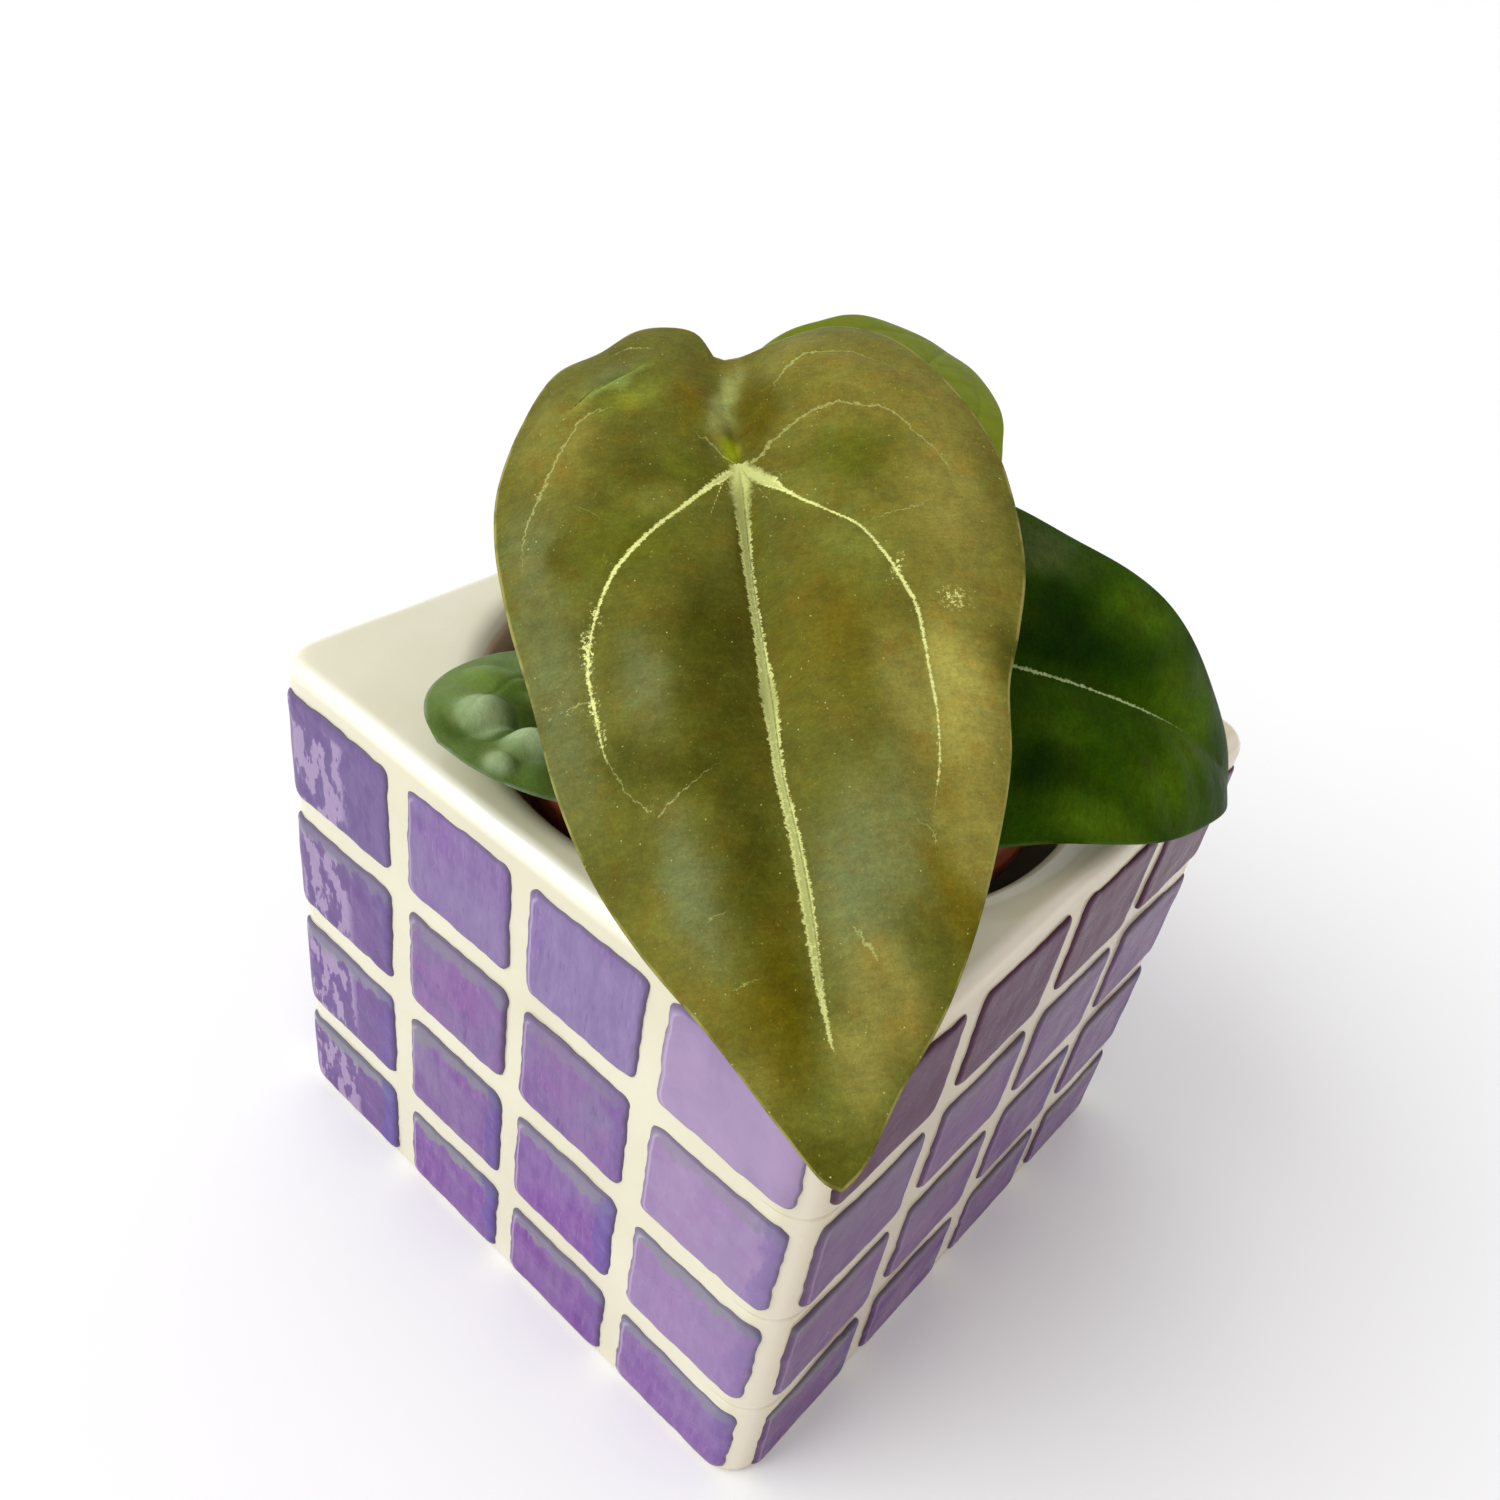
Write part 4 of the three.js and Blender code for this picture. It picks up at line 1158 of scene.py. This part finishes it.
FRONT_FINE_VEINS = (
    (((17.1, -36.4), (15.4, -40.4), (13.2, -43)), (0.1, 0.1, 0.2)),
    (((12.8, -43.9), (9.2, -40.9), (4.6, -37.6)), (0.17, 0.13, 0)),
    (((8, -60.9), (4.3, -59.7)), (0, 0.16, 0)),
    (((9.7, -54.9), (6.3, -53.1)), (0, 0.13, 0)),
    (((-4.3, -56.0), (-5.2, -58), (-6.2, -60)), (0.1, 0.3, 0)),
    (((-12.6, -11.9), (-16.4, -10.8), (-20.8, -8.7)), (0.1, 0.16, 0)),
    (((-10.5, -46.1), (-12.8, -47.7), (-12.7, -51)), (0, 0.16, 0)),
    (((24.6, -14.8), (23.9, -7.8), (21.6, -2.3), (19.4, 2.3), (17.2, 5.9), (14.8, 7.1), (11.1, 7.1)),
     (0, 0.12, 0.2, 0.22, 0.22, 0.16, 0)),
    (((14.4, 16.6), (11.7, 18.2), (8.5, 17.7), (7, 16.5)), (0, 0.14, 0.14, 0)),
    (((-1.1, -0.2), (-3.5, 1.3), (-6.1, 3), (-8.1, 4.1), (-10.7, 4.8), (-14.6, 4), (-17.3, 3.1), (-18.9, 0.7),
      (-21.8, -3.3), (-22.8, -8)), (0.3, 0.2, 0.22, 0.22, 0.2, 0.16, 0.12, 0)),
    (((-4.2, 7.2), (-5.2, 9.8), (-6.7, 11.8), (-8.6, 13.4), (-11.2, 13.7), (-14.9, 13.4), (-17.5, 11.7),
      (-19.4, 10.7)), (0, 0.14, 0.26, 0.2, 0.16, 0.12, 0)),
    (((0.5, 0.2), (2.4, 1.6), (4.1, 3.1), (5.6, 4.3)), (0.16, 0.16, 0)),
    (((19.9, -4.9), (16.8, -7.4), (13.8, -10.5)), (0, 0.1, 0)),
    (((21.1, -31), (19.6, -30.7), (18.2, -30.4)), (0, 0.22, 0.1)),
)
FOLD_FROM, FOLD_TO = (9.5, 14.2), (18.7, 7.9)
FRONT_SWELLS = (
    (9.6, -50, 3.6, 9, -8, 0.75), (-6.5, -56, 4.5, 10, 6, 0.5), (11, -21, 4.5, 8, 10, 0.5), (13, -33, 4, 6, 20, 0.4),
    (-9, -36, 5, 8, 0, 0.4), (-8, -20, 5, 9, 0, 0.35), (-19, -34, 3.5, 14, 5, 0.35), (17, 4, 6, 9, 0, 0.4),
    (-14, 5, 9, 7, 0, 0.4), (19, -50, 3, 8, -16, 0.3), (4.6, -46, 2.6, 12, 3, -0.5), (13.5, -40, 5, 2.2, 35, -0.45),
    (5.5, -24, 3, 16, 0, -0.35),
)


def front_relief(plan, share, main, fine, leaf):
    """Quilting between the veins, and the fold in the upper left lobe."""
    x, y = plan.T
    away = np.minimum(np.abs(main), np.abs(fine) + 1.2)
    quilt = 0.25 * (1 - np.exp(-((away / 3.2) ** 2))) + 0.22 * ripple(plan, 13, 83) * smooth_step(0.5, 5, away)
    ribs = 0.1 * np.sin(2 * math.pi * (-y - 0.62 * np.abs(x)) / 7.5) * smooth_step(3, 10, np.abs(x))
    start, step = np.array(FOLD_FROM), np.subtract(FOLD_TO, FOLD_FROM)
    length = np.hypot(*step)
    offset = plan - start
    way = (offset @ step) / length ** 2
    side = (step[0] * offset[:, 1] - step[1] * offset[:, 0]) / length
    fold = np.where(side > 0, -0.5 * np.exp(-side / 1.5), 0.9 * (1 - np.exp(side / 0.35)) * np.exp(side / 3) - 0.5)
    fold = np.where(side > 0, fold, fold * np.exp(side / 4))
    fold *= 1.6 * smooth_step(-0.1, 0.3, way) * smooth_step(1.2, 0.8, way)
    return (quilt + ribs + swelling(plan, FRONT_SWELLS)) * (1 - share ** 8) + fold * (1 - 0.4 * share ** 8)


OLIVE = (0.120, 0.118, 0.013)
FRONT_TINTS = {
    "bronze": (0.212, 0.183, 0.028), "straw": (0.262, 0.230, 0.048), "moss": (0.104, 0.112, 0.006),
    "deep": (0.048, 0.048, 0.000), "umber": (0.098, 0.078, 0.000), "grey green": (0.158, 0.178, 0.060),
    "dusk": (0.074, 0.075, 0.004), "rust": (0.142, 0.110, 0.004), "lime": (0.290, 0.345, 0.006),
    "ridge": (0.330, 0.350, 0.100), "gold": (0.365, 0.325, 0.068), "fern": (0.180, 0.186, 0.026),
    "sage": (0.195, 0.200, 0.056), "fold": (0.240, 0.290, 0.052), "grass": (0.205, 0.235, 0.022),
}
# Painted light among the marks: the darkest olive marks beside the midrib, along the branch vein below the left
# lateral and beside the ridge under the notch are painted shade. The grey green and sage marks are painted sheen on
# the swells and the left margin, and the ridge, fold and gold marks are painted highlights.
FRONT_MARKS = (
    ("bronze", -17, 3, 12, 13, 0, 0.9), ("bronze", -20.5, -20, 6.5, 19, 0, 0.95),
    ("straw", -22, -9, 4.5, 9, 0, 0.5), ("bronze", -16.5, -46, 5, 12, -10, 0.95),
    ("bronze", -9.5, 14, 9, 4.5, 0, 0.6),
    ("bronze", 11.5, -58, 3.2, 7, -28, 0.4), ("bronze", 20, 3, 5, 8, 0, 0.8), ("bronze", 6.5, -69.5, 3, 3.6, 0, 0.6),
    ("moss", -12, -2.5, 6, 4.5, -10, 0.98), ("moss", 13, -12, 6.5, 5.5, 0, 0.9),
    ("fern", -6.2, -6.2, 3.4, 3, 0, 0.7), ("fern", -10.6, -15.5, 4, 5.5, 0, 0.9),
    ("rust", -7, -25.5, 5, 8, 0, 0.7), ("rust", 5.2, -62.5, 2.5, 3.5, 0, 0.6),
    ("gold", -17.8, -33.5, 3.4, 7.5, 0, 0.95), ("straw", -12.4, -34, 2.8, 8, 0, 0.7),
    ("straw", -19.5, -40, 3, 7, 8, 0.6), ("dusk", -24.4, -28.4, 1.7, 4, 0, 0.8),
    ("grey green", -5.4, -52, 4.2, 9, 6, 0.9),
    ("sage", -10.2, -47, 3.2, 6, 0, 0.8), ("straw", -6.5, -62.3, 3.5, 6, -12, 0.85),
    ("straw", -17.4, -49.5, 2.6, 6, -10, 0.6),
    ("rust", -14.6, -56, 1.9, 8, -20, 0.85), ("fern", 0, -72, 2.6, 1.9, 0, 0.7),
    ("straw", -3.2, -68.4, 2.6, 4, 0, 0.8),
    ("grey green", 21.5, -30, 3.5, 13, -6, 0.7), ("grey green", 23.5, -12, 3, 8, 0, 0.6),
    ("grey green", 12.6, -29.5, 2.9, 5.2, 0, 0.75), ("dusk", 12.2, -1.8, 3.6, 3.2, 10, 0.75),
    ("moss", 6, -2.4, 3.4, 3, 0, 0.85),
    ("fern", 9.3, -6.9, 3.2, 2.1, -35, 0.8), ("umber", 20.3, -13, 1.6, 2.6, 0, 0.7),
    ("deep", 5.6, -25, 3.8, 9, 4, 0.85), ("dusk", 5.4, -36, 4, 8, 0, 0.9), ("dusk", 13.5, -38.5, 4.5, 2.4, 35, 0.8),
    ("dusk", 9.3, -40, 3, 2.4, 35, 0.8), ("dusk", 3.8, -49, 2.5, 8.5, 2, 0.98),
    ("grey green", 10.2, -51, 2.6, 7, -10, 0.92), ("umber", 2.7, -62, 2.3, 9, 4, 0.9),
    ("deep", 0.8, -76.4, 3.6, 2.5, 0, 0.6),
    ("rust", 4.4, 8.6, 2.4, 5.2, 8, 0.85), ("umber", -2.6, 6.8, 2.2, 6.2, 2, 0.95),
    ("ridge", 0.6, 9.2, 1.3, 6.6, 14, 0.92), ("lime", 1.0, 1.9, 1.1, 1.3, 0, 0.9),
    ("grass", 11.6, 8.4, 4.0, 1.9, -30, 0.75), ("grey green", 13.4, 13.2, 4.0, 1.2, -32, 0.6),
    ("fold", 14.1, 10.6, 5.6, 1.0, -32, 0.92),
)
# Each crease carries a painted shadow line, drawn by the leaf skin.
FRONT_CREASES = (
    (((19.0, 7.6), (16.9, 9.5), (15.2, 11.1), (12.8, 12.7), (10.2, 13.9)), (0.06, 0.2, 0.12, 0.04, 0, 0)),
)
FRONT_CRYSTALS = (
    (18.0, -25.0, 0.9, 3.2, 0, 1.0), (17.8, -31.4, 0.7, 2.0, 0, 0.8), (17.2, -34.8, 0.6, 2.0, 0, 0.7),
    (20.9, -28.4, 1.1, 2.2, 0, 0.38), (22.7, -30.8, 0.8, 1.4, 0, 0.4), (20.2, -31.2, 1.8, 0.6, 8, 0.5),
    (-19.6, -22.6, 2.3, 1.8, 0, 0.72), (-14.3, -18.4, 0.7, 2.6, 20, 0.85), (-15.4, -23.8, 0.5, 1.8, 0, 0.6),
    (-15.3, -33.5, 0.5, 3.0, 0, 0.5), (-14.8, -39.5, 0.5, 3.0, 0, 0.45), (-2.9, -3.8, 2.0, 1.7, 0, 0.6),
    (1.8, -4.6, 1.2, 1.4, 0, 0.5), (13.2, -42.8, 0.5, 0.5, 0, 0.9), (-13.2, -46.5, 0.5, 1.4, 0, 0.6),
    (15.2, -14.6, 0.8, 1.6, -30, 0.45), (17.0, -20.6, 0.6, 2.2, -18, 0.75),
)
front_leaf = {
    "name": "front", "foot": (-2.7, 1.3), "attach": (-7.3, -7.2, 106.7), "azimuth": -38.5, "elevation": -20,
    "roll": -11.2, "length": 78.5, "width": 1, "droop": 0.08, "fold": 0, "arch": 0, "dome": 3.2, "wave": 0.6,
    "waves": 5, "left": FRONT_LEFT, "right": FRONT_RIGHT, "sectors": 320, "rings": 88, "rise": 14, "lean": 14,
    "main_veins": (
        (MIDRIB, (1.3, 1.9, 1.35, 0.95, 0.75, 0.68, 0.62, 0.64, 0.66, 0.8, 1.1, 0.9, 0.68, 0.66, 0.66, 0.7, 0.74,
                  0.78, 0.76, 0.6, 0.48, 0.3, 0.12)),
        (LATERAL_LEFT, (1.0, 0.66, 0.42, 0.32, 0.27, 0.26, 0.27, 0.28, 0.3, 0.28, 0.24, 0.2, 0.17, 0.16, 0.17, 0.18,
                        0.18, 0.16, 0.1, 0.04)),
        (LATERAL_RIGHT, (1.2, 1.5, 0.95, 0.32, 0.22, 0.2, 0.18, 0.19, 0.2, 0.22, 0.25, 0.26, 0.26, 0.22, 0.18, 0.17,
                         0.16, 0.15, 0.13, 0.12, 0.1, 0.07, 0.03, 0)),
    ),
    "fine_veins": FRONT_FINE_VEINS, "creases": FRONT_CREASES, "crystals": FRONT_CRYSTALS, "relief": front_relief,
    "tints": tinted(OLIVE, FRONT_TINTS, FRONT_MARKS),
}
fit_leaf(front_leaf, "blade_olive", leaf_skin(
    "front_leaf_skin", vein=(0.46, 0.49, 0.165), spark=(0.78, 0.81, 0.29), below=(0.22, 0.24, 0.09),
    margin_colour=(0.36, 0.33, 0.10), vein_share=0.95, fine_share=0.7, net_share=0.03, speckle=0.8, mottle=0.8,
    rough=0.45, gloss=0.04,
))

# Other leaves: a dark young blade that rests over the right rim, a smooth light one behind, and a small
# puckered one on the left. Their veins follow the front leaf's, scaled to each blade.
COMMON_VEINS = (
    (((0, 0), (3.3, -4.4), (5.6, -7.2), (8.5, -9.9), (11.3, -12.4), (13.4, -15.6), (15.2, -19.6), (16.6, -24),
      (17, -30), (16.4, -36.6), (15, -43), (12.6, -50), (8, -60), (4, -68)), (0.5, 0.24, 0.22, 0.2, 0.16, 0.1, 0)),
)
COMMON_FINE = (
    (((1.1, -0.2), (3.5, 1.3), (6.1, 3), (8.6, 4.3), (11.5, 5.2), (15, 4.6), (18, 2.6), (20.5, -1), (22.3, -6),
      (22.8, -12)), (0.3, 0.2, 0.2, 0.16, 0.1, 0)),
    (((1.5, 2), (3.5, 7), (5.5, 11.5), (8.6, 14.8), (12.2, 15), (16, 12.6)), (0.2, 0.16, 0.12, 0)),
    (((12.6, -14), (17, -13), (22, -10)), (0.12, 0.12, 0)),
    (((15.6, -21), (20, -22), (24.6, -21)), (0.12, 0.1, 0)),
    (((16.9, -29), (20, -31.5), (22.8, -32)), (0.12, 0.1, 0)),
    (((0.4, -12), (5, -13), (9.5, -16.5), (13.8, -23)), (0.1, 0.13, 0.13, 0.1)),
    (((0.4, -24), (5, -27.5), (10, -32.5), (15, -39)), (0.1, 0.13, 0.13, 0.1)),
    (((0.4, -36), (5, -41), (9, -47), (12, -50)), (0.1, 0.12, 0.12, 0.1)),
    (((0.3, -47), (3.5, -52), (7, -58)), (0.1, 0.12, 0.1)),
)


def scaled_veins(veins, width, stretch, thick):
    """Veins of both halves, from those of one half."""
    return tuple(
        (tuple((sign * x * width, y * stretch) for x, y in path), tuple(size * thick for size in sizes))
        for path, sizes in veins for sign in (1, -1)
    )


def young_leaf(name, **facts):
    stretch = facts["length"] / REFERENCE_LENGTH
    midrib = (tuple((0, y * stretch) for y in np.linspace(0.2, -74, 9)), facts.pop("midrib"))
    common = scaled_veins(COMMON_VEINS, facts["width"], stretch, facts["laterals"]) if facts["laterals"] else ()
    fine = scaled_veins(COMMON_FINE, facts["width"], stretch, facts["fine"])
    return {"name": name, "main_veins": (midrib, *common), "fine_veins": fine, **facts}


def soft_relief(depth, ribs, seed):
    def relief(plan, share, main, fine, leaf):
        x, y = plan.T / leaf["width"]
        away = np.minimum(np.abs(main), np.abs(fine) + 0.6)
        quilt = depth * (1 - np.exp(-((away / 2.2) ** 2))) + 0.5 * depth * ripple(plan, 11, seed)
        waves = ribs * np.sin(2 * math.pi * (-y - 0.6 * np.abs(x)) / 8) * smooth_step(2, 8, np.abs(x))
        return (quilt + waves) * (1 - share ** 8)
    return relief


right_leaf = young_leaf(
    "right", foot=(2.8, -0.6), attach=(14.2, -4.2, 94.4), azimuth=35.7, elevation=-2.5, roll=-29, length=56.3,
    width=0.795, droop=1.4, fold=0.045, arch=0.004, dome=0.8, wave=0.4, waves=6, left=COMMON_HALF,
    right=COMMON_HALF, sectors=280, rings=72, rise=9, lean=9, laterals=0, fine=0.3,
    midrib=(0.4, 0.3, 0.22, 0.26, 0.15, 0.19, 0.06, 0.02, 0, 0), relief=soft_relief(0.22, 0.14, 91),
    tints=tinted((0.021, 0.054, 0.000), {"night": (0.004, 0.019, 0.000), "fresh": (0.060, 0.118, 0.003),
        "ash": (0.064, 0.088, 0.020)}, (
        ("ash", -16, -16, 4, 5.5, 0, 0.9), ("night", -8, -20, 5, 4.5, 0, 0.85), ("night", -3.6, -22, 3, 9, -8, 0.9),
        ("fresh", -12.5, -31, 3.5, 5.5, 0, 0.7), ("fresh", -2, -39, 8, 5.5, 0, 0.95), ("fresh", 9, -36, 4, 6, 0, 0.8),
        ("night", 12.4, -18.6, 3.4, 3, 0, 0.9), ("fresh", 16, -26, 2.8, 6, 0, 0.95),
        ("fresh", 6.5, -20.5, 2, 4, 0, 0.4),
    )),
)
fit_leaf(right_leaf, "blade_dark", leaf_skin(
    "right_leaf_skin", vein=(0.24, 0.34, 0.12), spark=(0.46, 0.56, 0.26), below=(0.10, 0.15, 0.05),
    margin_colour=(0.07, 0.11, 0.02), vein_share=0.7, fine_share=0.0, net_share=0.0, speckle=0.0, mottle=1.0,
    rough=0.42, gloss=0.02,
))

back_leaf = young_leaf(
    "back", foot=(-0.4, 3), attach=(-11.5, 23.1, 101.5), azimuth=107, elevation=4, roll=-18, length=47.3,
    width=0.623, droop=0.8, fold=0.02, arch=0, dome=0.3, wave=0.2, waves=5, left=COMMON_HALF,
    right=COMMON_HALF, sectors=260, rings=64, rise=14, lean=12, laterals=0.15, fine=0.3,
    midrib=(0.45, 0.3, 0.26, 0.24, 0.2, 0.12, 0), relief=soft_relief(0.08, 0.03, 92),
    tints=tinted((0.160, 0.204, 0.008), {"shady": (0.130, 0.176, 0.005), "sunny": (0.180, 0.216, 0.012)}, (
        ("shady", 8, -12, 6, 8, 0, 0.6), ("sunny", -8, -22, 6, 8, 0, 0.6), ("shady", 2, -36, 6, 6, 0, 0.4),
    )),
)
fit_leaf(back_leaf, "blade_light", leaf_skin(
    "back_leaf_skin", vein=(0.30, 0.36, 0.08), spark=(0.50, 0.55, 0.22), below=(0.17, 0.22, 0.05),
    margin_colour=(0.22, 0.26, 0.05), vein_share=0.12, fine_share=0.0, net_share=0.0, speckle=0.0, mottle=0.35,
    rough=0.45, gloss=0.02,
))

YOUNG_HALF = (
    (0, 15), (8, 24), (20, 25), (32, 17), (39, 0), (39.5, -22), (34, -46), (23, -65), (11, -75.5), (0, -78.5),
)
PUCKERS = (
    (2.0, -18.0, 3.6, 3.4, 0, 1.4), (-4.3, -16.6, 2.9, 3.3, 0, 1.5), (-5.8, -21.0, 1.9, 1.8, 0, 0.8),
    (8.6, -12.5, 4.4, 2.8, -30, 1.0), (-8.8, -18.2, 2.1, 2.2, 0, 0.8), (-2.0, -9.8, 3.4, 3.0, 0, 1.2),
    (-8.6, -10.0, 3.2, 3.2, 0, 0.8), (4.6, -7.0, 3.4, 2.6, 0, 0.8), (-11.5, -3.0, 2.8, 3.2, 0, 0.6),
    (11.0, -4.0, 2.8, 3.6, 0, 0.6), (-5.0, 1.5, 3.0, 2.6, 0, 0.6), (5.4, 2.2, 2.8, 2.4, 0, 0.6),
)


def puckered_relief(plan, share, main, fine, leaf):
    """Rounded blisters between the veins of the young blade."""
    total = np.zeros(len(plan))
    for *oval, rise in PUCKERS:
        total += (rise * np.clip(1 - from_oval(plan, *oval), 0, 1) ** 0.9) ** 3
    return (total ** (1 / 3) + 0.1 * ripple(plan, 4, 93)) * (1 - share ** 10)


left_leaf = young_leaf(
    "left", foot=(-0.4, -3), attach=(-7.3, -22.1, 78), azimuth=-98.8, elevation=15.9, roll=1.3, length=25,
    width=0.408, droop=0.48, fold=0.04, arch=0.004, dome=1.6, wave=0.3, waves=4, left=YOUNG_HALF,
    right=YOUNG_HALF, sectors=260, rings=70, rise=3, lean=4, laterals=0.3, fine=0.3,
    midrib=(0.2, 0.16, 0.14, 0.1, 0.06, 0), relief=puckered_relief,
    # The pale marks and the brightest mark on the blisters' tops are painted highlights, and the shady marks between
    # the blisters are painted shade.
    tints=tinted((0.104, 0.168, 0.034), {
        "pale": (0.360, 0.465, 0.240), "painted_blister_highlight": (0.460, 0.580, 0.310), "fresh": (0.155, 0.240, 0.042),
        "shady": (0.050, 0.098, 0.006),
    }, (
        ("fresh", 8, -15, 6, 10, 0, 0.7), ("shady", -8, -20, 5, 6, 0, 0.3), ("pale", 2.0, -18.4, 3.0, 2.8, 0, 0.85),
        ("painted_blister_highlight", -4.3, -16.4, 2.6, 2.8, 0, 0.9), ("pale", -5.6, -21.3, 1.5, 1.4, 0, 0.8),
        ("shady", 4.4, -13.6, 2.8, 1.5, 0, 0.85), ("shady", -1.1, -17.8, 0.8, 3.2, 0, 0.85),
        ("shady", 10.2, -10, 3, 2, 0, 0.3), ("pale", -9, -8, 4, 4, 0, 0.35), ("shady", 1.5, -22.6, 3.4, 1.0, 0, 0.6),
        ("shady", -4, -12.6, 3.4, 0.9, 0, 0.7),
    )),
)
fit_leaf(left_leaf, "blade_young", leaf_skin(
    "left_leaf_skin", vein=(0.22, 0.32, 0.14), spark=(0.34, 0.46, 0.26), below=(0.20, 0.30, 0.15),
    margin_colour=(0.23, 0.27, 0.19), vein_share=0.15, fine_share=0.05, net_share=0.0, speckle=0.0, mottle=0.4,
    rough=0.44, gloss=0.06,
))

# Floor and lights: a pale table top under a plain pale studio sky, and one broad soft light from the upper
# left, so the side away from it is only a little in shade.
FLOOR_SIZE = 12.0
LIGHT_FROM = (-0.45, -0.60, 0.64)
LIGHT_POWER = 1.6
LIGHT_SPREAD = 48
SKY_FROM = (-0.75, -0.45, 0.5)
SKY_LEAST, SKY_MOST = (0.47, 0.42, 0.40), (0.92, 0.93, 0.95)

deselect()
bpy.ops.mesh.primitive_plane_add(size=FLOOR_SIZE, location=(0, 0, 0))
floor = bpy.context.object
floor.name = "floor"
floor_paint, floor_tree = new_material("floor_paint")
speck = noise(floor_tree, own_place(floor_tree), 30, 3)
floor_colour = mix(floor_tree, between(floor_tree, speck, 0.3, 0.7), (0.925, 0.925, 0.925), (0.935, 0.935, 0.935))
floor.data.materials.append(finish(floor_paint, floor_colour, 0.7, None))

bpy.ops.object.light_add(type="SUN", location=LIGHT_FROM)
light = bpy.context.object
light.name = "window_light"
light.rotation_euler = Vector(LIGHT_FROM).to_track_quat("Z", "Y").to_euler()
light.data.angle = math.radians(LIGHT_SPREAD)
light.data.energy = LIGHT_POWER

sky = bpy.data.worlds.new("studio_sky")
sky.use_nodes = True
sky_tree = sky.node_tree
direction = put(sky_tree, "TexCoord").outputs["Generated"]
towards = put(sky_tree, "VectorMath", {0: direction, 1: Vector(SKY_FROM).normalized()}, operation="DOT_PRODUCT")
sky_colour = mix(sky_tree, between(sky_tree, towards.outputs["Value"], -0.7, 0.7), SKY_LEAST, SKY_MOST)
sky_tree.links.new(sky_colour, sky_tree.nodes["Background"].inputs["Color"])
bpy.context.scene.world = sky
bpy.context.scene.view_settings.view_transform = "Standard"
